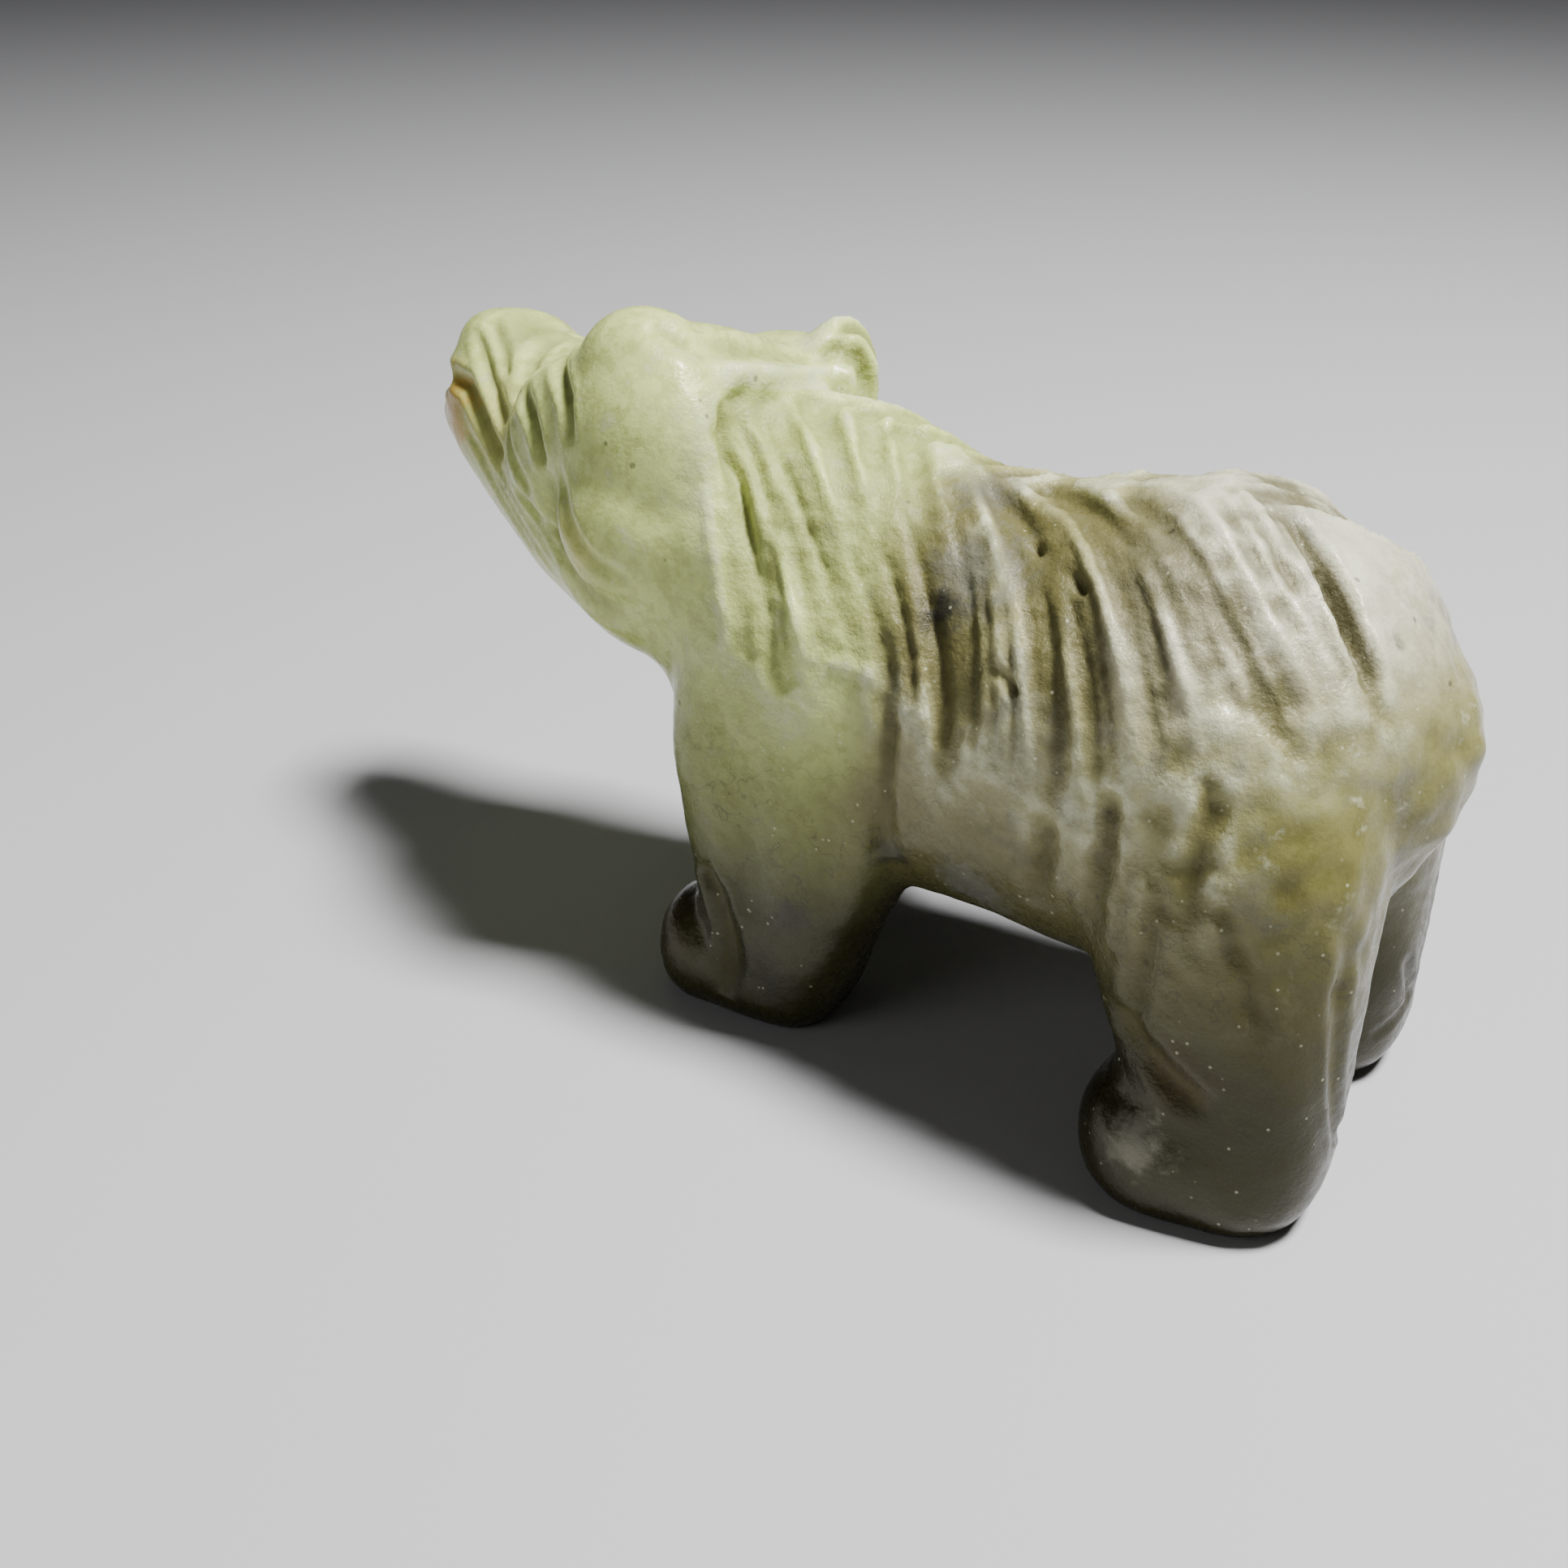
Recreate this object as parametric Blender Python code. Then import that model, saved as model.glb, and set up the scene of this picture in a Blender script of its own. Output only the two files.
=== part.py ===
"""A small bear carved from one piece of labradorite, standing on its four feet.

The bear faces -Y with its left side towards +X. Its soles stand on Z = 0 and the origin is under
the middle of its box. The free form is given in shares of the length. At the real size a share is
one millimetre, so the rows below read as millimetres.
"""

import math

import bmesh
import bpy
import numpy as np
from mathutils import Matrix, Vector
from mathutils.bvhtree import BVHTree

# The driving size, in metres, and the shares that it holds
LENGTH = 0.0518
SHARES_IN_LENGTH = 51.8
SHARE = LENGTH / SHARES_IN_LENGTH
MIDDLE_FORE = 24.0

# How finely the stone is worked
BALL_DETAIL = 4
SKIN_GRAIN = 0.4
MELT_ROUNDS = 15
MELT_STRENGTH = 0.5
MOST_TRIANGLES = 9400

# The stone, as linear colour
STONE_COLOUR = (0.36, 0.38, 0.25, 1.0)
STONE_ROUGHNESS = 0.32

# Rows of a chain: side, fore and up of a mass, its three radii, and how square it is
SPINE = (
    ((0, 2.0, 18.2), (4.8, 4.0, 5.4), 2.1),
    ((0, 4.8, 17.7), (8.0, 5.7, 8.7), 2.2),
    ((0, 8.4, 17.5), (9.2, 6.2, 10.5), 2.2),
    ((0, 12.5, 17.1), (8.8, 6.0, 10.0), 2.2),
    ((0, 17.0, 16.7), (8.2, 6.0, 9.4), 2.2),
    ((0, 21.0, 17.0), (8.1, 5.6, 9.7), 2.2),
    ((0, 25.0, 17.8), (8.0, 5.4, 10.3), 2.2),
    ((0, 28.0, 18.4), (7.4, 5.2, 9.2), 2.2),
)
NECK = (
    ((0, 27.0, 20.1), (7.9, 5.4, 7.6), 2.2),
    ((0, 30.2, 21.3), (7.6, 5.2, 7.4), 2.2),
    ((0, 33.0, 21.9), (6.6, 4.8, 6.6), 2.2),
)
TAIL = (
    ((0, 0.0, 19.4), (2.0, 2.2, 2.6), 2.0),
)
FRONT_LEG = (
    ((4.1, 24.8, 19.6), (4.3, 5.8, 4.4), 2.4),
    ((5.0, 24.5, 14.0), (3.7, 6.1, 4.0), 3.2),
    ((5.0, 24.9, 8.5), (3.4, 4.9, 3.5), 3.0),
    ((4.9, 25.6, 3.0), (3.1, 3.5, 3.8), 2.5),
)
FRONT_PAW = (
    ((5.0, 25.6, 2.2), (3.0, 3.4, 3.1), 2.3),
    ((5.2, 29.5, 2.2), (3.0, 2.6, 3.1), 2.2),
)
HIND_LEG = (
    ((3.5, 6.8, 18.8), (5.5, 6.0, 5.8), 2.1),
    ((4.9, 5.4, 14.5), (4.9, 6.0, 6.4), 2.3),
    ((5.6, 4.0, 9.0), (4.0, 4.8, 5.0), 2.5),
    ((5.9, 3.4, 3.2), (3.8, 4.2, 4.2), 2.6),
)
HIND_PAW = (
    ((6.1, 3.6, 2.4), (3.9, 4.2, 3.5), 2.3),
    ((6.5, 6.0, 2.4), (3.9, 3.4, 3.7), 2.1),
)
FAR_LEG_STRIDE = 4.2
SHOULDER_UP = FRONT_LEG[0][0][2]

# The head, in its own frame between the ears
HEAD_SPOT = (0.2, 31.3, 26.0)
HEAD_TURN = math.radians(9)
HEAD_ROLL = math.radians(13)
SKULL = (
    ((0, 0.0, -0.9), (6.9, 3.4, 4.6), 2.8),
    ((0, 4.0, -1.3), (5.5, 4.3, 4.5), 2.3),
)
SNOUT = (
    ((0, 1.6, -4.2), (6.8, 4.6, 6.6), 2.3),
    ((0, 6.4, -3.4), (5.5, 4.2, 6.0), 2.4),
    ((0, 10.2, -2.7), (4.6, 3.6, 4.8), 2.4),
    ((0, 13.6, -1.7), (3.9, 3.0, 3.9), 2.4),
    ((0, 15.4, -1.1), (3.3, 2.1, 3.2), 2.4),
)
NOSE = (
    ((0, 14.6, 0.9), (3.0, 2.4, 2.0), 2.3),
    ((0, 15.9, 0.8), (2.4, 1.8, 1.9), 2.3),
)
CHIN = (
    ((0, 14.6, -3.2), (3.0, 2.4, 2.1), 2.2),
    ((0, 16.7, -2.5), (2.4, 1.9, 1.7), 2.2),
)
CROWN = (
    ((2.2, 0.6, 2.2), (3.2, 3.0, 2.3), 2.2),
    ((-3.0, -0.4, 1.4), (3.0, 2.6, 2.1), 2.2),
)
TEMPLE = (
    ((4.5, 1.0, -0.6), (3.3, 4.6, 4.9), 2.1),
    ((3.7, 6.0, -2.2), (2.6, 3.8, 4.3), 2.1),
)
BROW = (
    ((4.3, 2.4, 1.1), (2.5, 3.0, 2.9), 2.0),
    ((3.2, 5.8, -0.6), (2.2, 2.8, 3.0), 2.1),
)
CHEEK = ((3.7, 0.9, -3.9), (4.2, 4.3, 4.3), 2.0)
LEFT_EAR = ((4.6, 1.6, 2.2), (2.6, 3.2, 2.8), 2.0)
RIGHT_EAR = ((-5.2, -1.3, 2.5), (2.4, 1.9, 2.9), 2.0)
LINK_STEPS = 5

# Fur grooves: fore at the spine, how far back a groove sweeps by the middle of the flank, the
# angles down from the spine between which it runs, and its depth
AXIS_UP = 17.4
FUR_GROOVES = (
    (31.3, 6.0, 22, 72, 0.42),
    (31.6, 8.0, 18, 82, 0.50),
    (31.8, 11.0, 14, 66, 0.50),
    (30.2, 11.0, 8, 66, 0.45),
    (27.2, 9.1, -2, 74, 0.50),
    (24.8, 7.8, -4, 66, 0.42),
    (22.6, 6.5, -8, 96, 0.60),
    (20.7, 6.0, 4, 84, 0.50),
    (19.0, 7.8, 0, 92, 0.62),
    (18.0, 8.9, 8, 80, 0.50),
    (16.1, 9.7, -4, 74, 0.55),
    (14.8, 11.0, 10, 58, 0.38),
    (13.3, 11.9, 2, 62, 0.42),
    (10.0, 11.6, 4, 44, 0.28),
    (7.3, 10.6, -4, 30, 0.24),
    (5.8, 7.0, 12, 46, 0.26),
)
LOW_GROOVES = (
    (11.9, 3.0, 80, 124, 0.34),
    (9.4, 3.2, 98, 140, 0.32),
    (14.0, 2.6, 92, 126, 0.26),
    (7.6, 2.4, 72, 112, 0.26),
)
GROOVE_WIDTH = 0.62
GROOVE_BANK = 0.22
STEP_ANGLE = 6
FAR_OUT = 30
END_FADE = 0.16
BANK_PLACE = 1.9
BANK_SPREAD = 0.6

# Cuts on the head, in its own frame: the points of a cut, its depth and its width
FACE_CUTS = (
    (((1.7, 16.0, 2.3), (2.6, 14.2, 1.7), (3.2, 12.6, 0.6)), 0.34, 0.45),
    (((2.1, 16.0, 1.0), (3.0, 14.0, 0.6), (3.6, 12.4, -0.6), (4.1, 10.9, -1.9)), 0.34, 0.45),
    (((1.6, 18.0, -0.8), (3.5, 15.4, -1.2), (4.0, 13.0, -2.5), (4.6, 10.9, -3.5)), 0.45, 0.5),
    (((3.9, 9.3, 0.2), (4.9, 7.0, -1.5), (6.2, 4.4, -2.8)), 0.36, 0.45),
    (((3.4, 8.0, 1.9), (5.0, 5.8, 0.6), (6.6, 3.6, -1.0)), 0.36, 0.45),
    (((4.2, 10.0, -1.6), (4.9, 8.0, -2.8), (6.0, 5.6, -3.6)), 0.22, 0.35),
    (((0.9, 9.6, 3.0), (2.3, 9.9, 2.2), (3.3, 9.9, 1.1), (3.9, 10.4, -0.2)), 0.42, 0.6),
)
LIP_CUT = (((3.4, 16.2, -0.9), (2.2, 17.6, -0.8), (0.0, 18.4, -0.8), (-2.2, 17.6, -0.8),
            (-3.4, 16.2, -0.9)), 0.5, 0.5)
EAR_HOLLOW = (((5.5, 0.5, 4.4), (5.1, -0.4, 4.0), (4.6, -0.9, 4.0)), 0.3, 0.7)
CROWN_HOLLOW = (((4.0, -1.4, 3.9), (1.4, -1.3, 3.7), (-0.4, -1.3, 3.6), (-2.9, -1.3, 3.8)), 0.3, 0.8)
NAPE_RIM = (((4.2, -2.6, 3.5), (2.1, -2.5, 3.2), (0.2, -2.6, 3.0), (-2.7, -2.6, 2.7)), -0.35, 0.7)
NAPE_HOLLOW = (((3.4, -4.2, 1.5), (1.8, -4.5, 1.6), (-1.8, -4.4, 1.6)), 0.3, 1.2)
CHEEK_RIM = (((7.0, 4.6, -2.4), (6.8, 4.2, -5.2), (6.0, 2.4, -7.4), (5.6, 0.0, -8.0)), 0.35, 0.8)


def place(spot):
    """The point at this side, fore and up, in shares, in the bear's own frame in metres."""
    side, fore, up = spot
    return Vector((side * SHARE, (MIDDLE_FORE - fore) * SHARE, up * SHARE))


def head_frame():
    """Turns and moves a point of the level head to where the bear holds it."""
    turn = Matrix.Rotation(HEAD_TURN, 4, "Z") @ Matrix.Rotation(-HEAD_ROLL, 4, "Y")
    return Matrix.Translation(HEAD_SPOT) @ turn


def add_mass(shape, frame, centre, radii, squareness):
    """Adds one rounded mass: a ball pulled to its three radii, squarer as squareness passes 2."""
    ball = bmesh.ops.create_icosphere(shape, subdivisions=BALL_DETAIL, radius=1.0)
    for vert in ball["verts"]:
        spread = sum(abs(part) ** squareness for part in vert.co) ** (1.0 / squareness)
        reach = Vector(part * radius / spread for part, radius in zip(vert.co, radii))
        vert.co = place(frame @ (Vector(centre) + reach))


def between(first, last, share):
    """The values a share of the way from the first row to the last."""
    return tuple(a + (b - a) * share for a, b in zip(first, last))


def mirrored(rows):
    """The same chain on the other side of the body."""
    return tuple(((-spot[0], spot[1], spot[2]), radii, square) for spot, radii, square in rows)


def stepped(rows, stride):
    """The same chain set forward: by nothing at the shoulder and by the whole stride at the ground."""
    return tuple(((side, fore + stride * (1 - up / SHOULDER_UP), up), radii, square)
                 for (side, fore, up), radii, square in rows)


def add_chain(shape, frame, rows):
    """Adds masses along a chain of rows, so that neighbours run into one another."""
    for (spot, radii, square), (next_spot, next_radii, next_square) in zip(rows, rows[1:]):
        for step in range(LINK_STEPS):
            share = step / LINK_STEPS
            add_mass(shape, frame, between(spot, next_spot, share),
                     between(radii, next_radii, share), square + (next_square - square) * share)
    add_mass(shape, frame, *rows[-1])


def rough_block():
    """The masses of the bear before they are worked into one."""
    shape = bmesh.new()
    body = Matrix.Identity(4)
    head = head_frame()
    for rows in (SPINE, NECK, TAIL, FRONT_LEG, FRONT_PAW, HIND_LEG, HIND_PAW):
        add_chain(shape, body, rows)
    for rows in (FRONT_LEG, FRONT_PAW):
        add_chain(shape, body, stepped(mirrored(rows), FAR_LEG_STRIDE))
    for rows in (HIND_LEG, HIND_PAW):
        add_chain(shape, body, mirrored(rows))
    for rows in (SKULL, CROWN, SNOUT, NOSE, CHIN):
        add_chain(shape, head, rows)
    for rows in (TEMPLE, BROW):
        add_chain(shape, head, rows)
        add_chain(shape, head, mirrored(rows))
    for row in (CHEEK, *mirrored((CHEEK,)), LEFT_EAR, RIGHT_EAR):
        add_mass(shape, head, *row)
    mesh = bpy.data.meshes.new("rough")
    shape.to_mesh(mesh)
    shape.free()
    return mesh


def applied(piece):
    """The mesh of the piece with its modifiers worked in."""
    bpy.context.view_layer.update()
    seen = piece.evaluated_get(bpy.context.evaluated_depsgraph_get())
    mesh = bpy.data.meshes.new_from_object(seen)
    piece.modifiers.clear()
    return mesh


def melt_together(piece):
    """Turns the crossing masses into one skin with soft hollows between them."""
    skin = piece.modifiers.new("skin", "REMESH")
    skin.mode = "VOXEL"
    skin.voxel_size = SKIN_GRAIN * SHARE
    soften = piece.modifiers.new("soften", "SMOOTH")
    soften.factor = MELT_STRENGTH
    soften.iterations = MELT_ROUNDS
    piece.data = applied(piece)


def surface_of(mesh):
    """The skin of the mesh to cast lines at, and its points and outward directions as arrays."""
    shape = bmesh.new()
    shape.from_mesh(mesh)
    tree = BVHTree.FromBMesh(shape)
    shape.free()
    points = np.empty(len(mesh.vertices) * 3)
    mesh.vertices.foreach_get("co", points)
    normals = np.empty(len(mesh.vertices) * 3)
    mesh.vertex_normals.foreach_get("vector", normals)
    return tree, points.reshape(-1, 3), normals.reshape(-1, 3)


def flank_path(tree, hand, top_fore, sweep, first_angle, last_angle):
    """The points where a fur groove lies on the skin, from the spine down the flank."""
    path = []
    for angle in range(first_angle, last_angle + 1, STEP_ANGLE):
        turn = math.radians(angle)
        fore = top_fore - sweep * math.sin(turn)
        out = Vector((hand * math.sin(turn), 0, math.cos(turn)))
        axis = place((0, fore, AXIS_UP))
        spot = tree.ray_cast(axis + out * FAR_OUT * SHARE, -out)[0]
        if spot is not None:
            path.append(spot)
    return path


def head_path(tree, hand, frame, points):
    """The points of a cut on the head, laid on the skin."""
    spots = (place(frame @ Vector((hand * side, fore, up))) for side, fore, up in points)
    return [tree.find_nearest(spot)[0] for spot in spots]


def distance_to_path(points, path):
    """How far each point is from the path, and how far along the path it lies, from 0 to 1."""
    nearest = np.full(len(points), np.inf)
    along = np.zeros(len(points))
    legs = len(path) - 1
    for leg in range(legs):
        start = np.array(path[leg])
        run = np.array(path[leg + 1]) - start
        share = np.clip((points - start) @ run / (run @ run), 0.0, 1.0)
        gap = np.linalg.norm(points - start - share[:, None] * run, axis=1)
        closer = gap < nearest
        nearest[closer] = gap[closer]
        along[closer] = (leg + share[closer]) / legs
    return nearest, along


def cut(depths, points, path, depth, width):
    """Adds one rounded cut to the depths, fading at both ends, with a low bank on each side."""
    if len(path) < 2:
        return
    gap, along = distance_to_path(points, path)
    gap = gap / (width * SHARE)
    fade = np.clip(np.minimum(along, 1 - along) / END_FADE, 0.0, 1.0)
    floor = np.exp(-gap ** 2)
    bank = GROOVE_BANK * np.exp(-((gap - BANK_PLACE) / BANK_SPREAD) ** 2)
    depths += depth * SHARE * np.sqrt(fade) * (floor - bank)


def carve(piece):
    """Cuts the fur, the face and the hollows round the ears into the skin."""
    tree, points, normals = surface_of(piece.data)
    depths = np.zeros(len(points))
    frame = head_frame()
    for hand in (1, -1):
        for top_fore, sweep, first_angle, last_angle, depth in FUR_GROOVES + LOW_GROOVES:
            path = flank_path(tree, hand, top_fore, sweep, first_angle, last_angle)
            cut(depths, points, path, depth, GROOVE_WIDTH)
        for spots, depth, width in FACE_CUTS + (EAR_HOLLOW, CHEEK_RIM):
            cut(depths, points, head_path(tree, hand, frame, spots), depth, width)
    for spots, depth, width in (LIP_CUT, CROWN_HOLLOW, NAPE_RIM, NAPE_HOLLOW):
        cut(depths, points, head_path(tree, 1, frame, spots), depth, width)
    piece.data.vertices.foreach_set("co", (points - normals * depths[:, None]).ravel())
    piece.data.update()


def thin_out(piece):
    """Brings the skin down to as many faces as the carving needs."""
    thin = piece.modifiers.new("thin", "DECIMATE")
    thin.use_collapse_triangulate = True
    triangles = sum(len(face.vertices) - 2 for face in piece.data.polygons)
    thin.ratio = min(1.0, MOST_TRIANGLES / triangles)
    piece.data = applied(piece)


def level_soles(piece):
    """Grinds the feet off level on the ground, and sets the box of the bear over the origin."""
    shape = bmesh.new()
    shape.from_mesh(piece.data)
    low = [min(vert.co[axis] for vert in shape.verts) for axis in (0, 1)]
    high = [max(vert.co[axis] for vert in shape.verts) for axis in (0, 1)]
    middle = Vector(((low[0] + high[0]) / 2, (low[1] + high[1]) / 2, 0))
    bmesh.ops.translate(shape, verts=shape.verts[:], vec=-middle)
    everything = shape.verts[:] + shape.edges[:] + shape.faces[:]
    bmesh.ops.bisect_plane(shape, geom=everything, plane_co=(0, 0, 0), plane_no=(0, 0, -1),
                           clear_outer=True)
    rims = [edge for edge in shape.edges if edge.is_boundary]
    bmesh.ops.triangle_fill(shape, edges=rims, use_beauty=True, use_dissolve=False)
    bmesh.ops.recalc_face_normals(shape, faces=shape.faces[:])
    shape.to_mesh(piece.data)
    shape.free()


def dress(piece):
    """Gives the bear its stone, shaded as one smooth skin."""
    stone = bpy.data.materials.new("labradorite")
    stone.use_nodes = True
    shader = stone.node_tree.nodes["Principled BSDF"]
    shader.inputs["Base Color"].default_value = STONE_COLOUR
    shader.inputs["Roughness"].default_value = STONE_ROUGHNESS
    shader.inputs["Metallic"].default_value = 0.0
    piece.data.materials.append(stone)
    piece.data.shade_smooth()


def clear_scene():
    """Removes whatever the scene starts with."""
    for thing in list(bpy.data.objects):
        bpy.data.objects.remove(thing, do_unlink=True)


def make_bear():
    """Makes the bear: masses melted together, carved, thinned and stood on level soles."""
    bear = bpy.data.objects.new("bear", rough_block())
    bpy.context.scene.collection.objects.link(bear)
    melt_together(bear)
    carve(bear)
    thin_out(bear)
    level_soles(bear)
    dress(bear)


clear_scene()
make_bear()
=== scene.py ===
"""A small polar bear carved from one piece of labradorite, on a pale floor in soft studio light.

The bear faces -Y with its left side towards +X and stands on Z = 0. Its free form is given in
shares of its length. At the real size a share is one millimetre, so the numbers of the form read
as millimetres: side is to the bear's left, fore is towards its nose and up is up.
"""

import logging
import math
from dataclasses import dataclass
from enum import Enum
from typing import Iterable, Iterator, Sequence

import bmesh
import bpy
import numpy as np
from mathutils import Matrix, Vector, noise
from mathutils.bvhtree import BVHTree

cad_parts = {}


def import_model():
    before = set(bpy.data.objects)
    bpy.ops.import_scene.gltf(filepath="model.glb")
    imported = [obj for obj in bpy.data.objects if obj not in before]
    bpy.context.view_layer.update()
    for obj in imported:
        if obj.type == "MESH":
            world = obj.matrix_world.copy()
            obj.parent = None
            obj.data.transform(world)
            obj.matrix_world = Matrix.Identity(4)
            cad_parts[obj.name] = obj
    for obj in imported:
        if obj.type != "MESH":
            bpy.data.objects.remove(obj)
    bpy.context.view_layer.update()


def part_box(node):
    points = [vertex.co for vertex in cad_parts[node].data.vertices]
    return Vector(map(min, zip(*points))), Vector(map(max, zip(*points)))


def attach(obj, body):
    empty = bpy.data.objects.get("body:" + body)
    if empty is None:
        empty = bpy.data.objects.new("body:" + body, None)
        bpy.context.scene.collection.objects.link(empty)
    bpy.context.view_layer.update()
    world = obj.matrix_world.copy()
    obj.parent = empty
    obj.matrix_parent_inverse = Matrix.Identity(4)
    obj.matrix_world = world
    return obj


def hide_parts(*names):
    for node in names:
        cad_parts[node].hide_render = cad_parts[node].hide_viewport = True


Spot = tuple[float, float, float]
Colour = tuple[float, float, float, float]

NODE = "bear"
BODY = "root"
SHARES_IN_LENGTH = 51.8
MIDDLE_FORE = 24.0
NOISE_MIDDLE = 0.5

log = logging.getLogger("bear")


class Side(Enum):
    """The two sides of the bear, as the sign of the side coordinate."""

    LEFT = 1
    RIGHT = -1


# ---- the form ----------------------------------------------------------------------------------


@dataclass(frozen=True)
class Scale:
    """The real length of one share, and the way from the bear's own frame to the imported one.

    Attributes:
        share: the length of one share, in metres.
    """

    share: float

    def place(self, spot: Iterable[float]) -> Vector:
        """The point at this side, fore and up.

        Args:
            spot: side, fore and up, in shares.

        Returns:
            The point in metres, with the middle of the bear's length over the origin.
        """
        side, fore, up = spot
        return Vector((side, MIDDLE_FORE - fore, up)) * self.share


@dataclass(frozen=True)
class Mass:
    """One rounded mass of stone.

    Attributes:
        centre: side, fore and up of its middle.
        radii: its half widths along side, fore and up.
        squareness: 2 for a true ellipsoid, more for squarer shoulders.
    """

    centre: Spot
    radii: Spot
    squareness: float = 2.0

    def towards(self, other: "Mass", share: float) -> "Mass":
        """The mass a share of the way to another.

        Args:
            other: the mass at the far end.
            share: 0 for this mass, 1 for the other.

        Returns:
            The mass between the two.
        """
        def blend(first: Spot, last: Spot) -> Spot:
            """Each value a share of the way from the first to the last."""
            return tuple(a + (b - a) * share for a, b in zip(first, last))

        square = self.squareness + (other.squareness - self.squareness) * share
        return Mass(blend(self.centre, other.centre), blend(self.radii, other.radii), square)

    def on(self, side: Side) -> "Mass":
        """The same mass on the given side of the body."""
        return Mass((self.centre[0] * side.value, *self.centre[1:]), self.radii, self.squareness)

    def add_to(self, shape: bmesh.types.BMesh, frame: Matrix, scale: Scale, detail: int) -> None:
        """Adds the mass to a shape as a ball pulled to its three radii.

        Args:
            shape: the bmesh that gathers the masses.
            frame: from the mass's own frame to the bear's.
            scale: the size of a share.
            detail: the ball's subdivisions.
        """
        ball = bmesh.ops.create_icosphere(shape, subdivisions=detail, radius=1.0)
        for vert in ball["verts"]:
            spread = sum(abs(part) ** self.squareness for part in vert.co) ** (1.0 / self.squareness)
            reach = Vector(part * radius / spread for part, radius in zip(vert.co, self.radii))
            vert.co = scale.place(frame @ (Vector(self.centre) + reach))


@dataclass(frozen=True)
class Chain:
    """Masses that run into one another along a limb.

    Attributes:
        masses: the masses in order.
    """

    masses: tuple[Mass, ...]

    def on(self, side: Side) -> "Chain":
        """The same chain on the given side of the body."""
        return Chain(tuple(mass.on(side) for mass in self.masses))

    def stepped(self, stride: float, top: float) -> "Chain":
        """The chain set forward, by nothing at the top and by the whole stride at the ground.

        Args:
            stride: how far forward the foot goes.
            top: how high the limb turns.

        Returns:
            The chain of the limb in its new place.
        """
        moved = []
        for mass in self.masses:
            side, fore, up = mass.centre
            spot = (side, fore + stride * (1 - up / top), up)
            moved.append(Mass(spot, mass.radii, mass.squareness))
        return Chain(tuple(moved))

    def linked(self, steps: int) -> Iterator[Mass]:
        """The masses with others between them.

        Args:
            steps: how many steps there are from one mass to the next.

        Yields:
            Each mass in turn.
        """
        for first, last in zip(self.masses, self.masses[1:]):
            for step in range(steps):
                yield first.towards(last, step / steps)
        yield self.masses[-1]


@dataclass(frozen=True)
class Trunk:
    """The bear's body, neck and short tail.

    Attributes:
        spine: masses from the rump to the shoulders.
        neck: masses from the shoulders to the head.
        tail: the low bump over the hind legs.
    """

    spine: Chain = Chain((
        Mass((0, 2.0, 18.2), (4.8, 4.0, 5.4), 2.1),
        Mass((0, 4.8, 17.7), (8.0, 5.7, 8.7), 2.2),
        Mass((0, 8.4, 17.5), (9.2, 6.2, 10.5), 2.2),
        Mass((0, 12.5, 17.1), (8.8, 6.0, 10.0), 2.2),
        Mass((0, 17.0, 16.7), (8.2, 6.0, 9.4), 2.2),
        Mass((0, 21.0, 17.0), (8.1, 5.6, 9.7), 2.2),
        Mass((0, 25.0, 17.8), (8.0, 5.4, 10.3), 2.2),
        Mass((0, 28.0, 18.4), (7.4, 5.2, 9.2), 2.2),
    ))
    neck: Chain = Chain((
        Mass((0, 27.0, 20.1), (7.9, 5.4, 7.6), 2.2),
        Mass((0, 30.2, 21.3), (7.6, 5.2, 7.4), 2.2),
        Mass((0, 33.0, 21.9), (6.6, 4.8, 6.6), 2.2),
    ))
    tail: Chain = Chain((
        Mass((0, 0.0, 19.4), (2.0, 2.2, 2.6)),
    ))

    def chains(self) -> tuple[Chain, ...]:
        """The chains of the trunk."""
        return self.spine, self.neck, self.tail


@dataclass(frozen=True)
class Legs:
    """The four legs with their paws, the right front one a little ahead of the left.

    Attributes:
        front: the left front leg, from the shoulder down.
        front_paw: its paw.
        hind: the left hind leg, from the haunch down.
        hind_paw: its paw.
        stride: how far the right front foot stands ahead.
    """

    front: Chain = Chain((
        Mass((4.1, 24.8, 19.6), (4.3, 5.8, 4.4), 2.4),
        Mass((5.0, 24.5, 14.0), (3.7, 6.1, 4.0), 3.2),
        Mass((5.0, 24.9, 8.5), (3.4, 4.9, 3.5), 3.0),
        Mass((4.9, 25.6, 3.0), (3.1, 3.5, 3.8), 2.5),
    ))
    front_paw: Chain = Chain((
        Mass((5.0, 25.6, 2.2), (3.0, 3.4, 3.1), 2.3),
        Mass((5.2, 29.5, 2.2), (3.0, 2.6, 3.1), 2.2),
    ))
    hind: Chain = Chain((
        Mass((3.5, 6.8, 18.8), (5.5, 6.0, 5.8), 2.1),
        Mass((4.9, 5.4, 14.5), (4.9, 6.0, 6.4), 2.3),
        Mass((5.6, 4.0, 9.0), (4.0, 4.8, 5.0), 2.5),
        Mass((5.9, 3.4, 3.2), (3.8, 4.2, 4.2), 2.6),
    ))
    hind_paw: Chain = Chain((
        Mass((6.1, 3.6, 2.4), (3.9, 4.2, 3.5), 2.3),
        Mass((6.5, 6.0, 2.4), (3.9, 3.4, 3.7), 2.1),
    ))
    stride: float = 4.2

    def shoulder(self) -> float:
        """How high the front legs turn."""
        return self.front.masses[0].centre[2]

    def chains(self) -> Iterator[Chain]:
        """The chains of all four legs.

        Yields:
            The left ones, then the right ones.
        """
        for chain in (self.front, self.front_paw):
            yield chain
            yield chain.on(Side.RIGHT).stepped(self.stride, self.shoulder())
        for chain in (self.hind, self.hind_paw):
            yield chain
            yield chain.on(Side.RIGHT)


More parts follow.
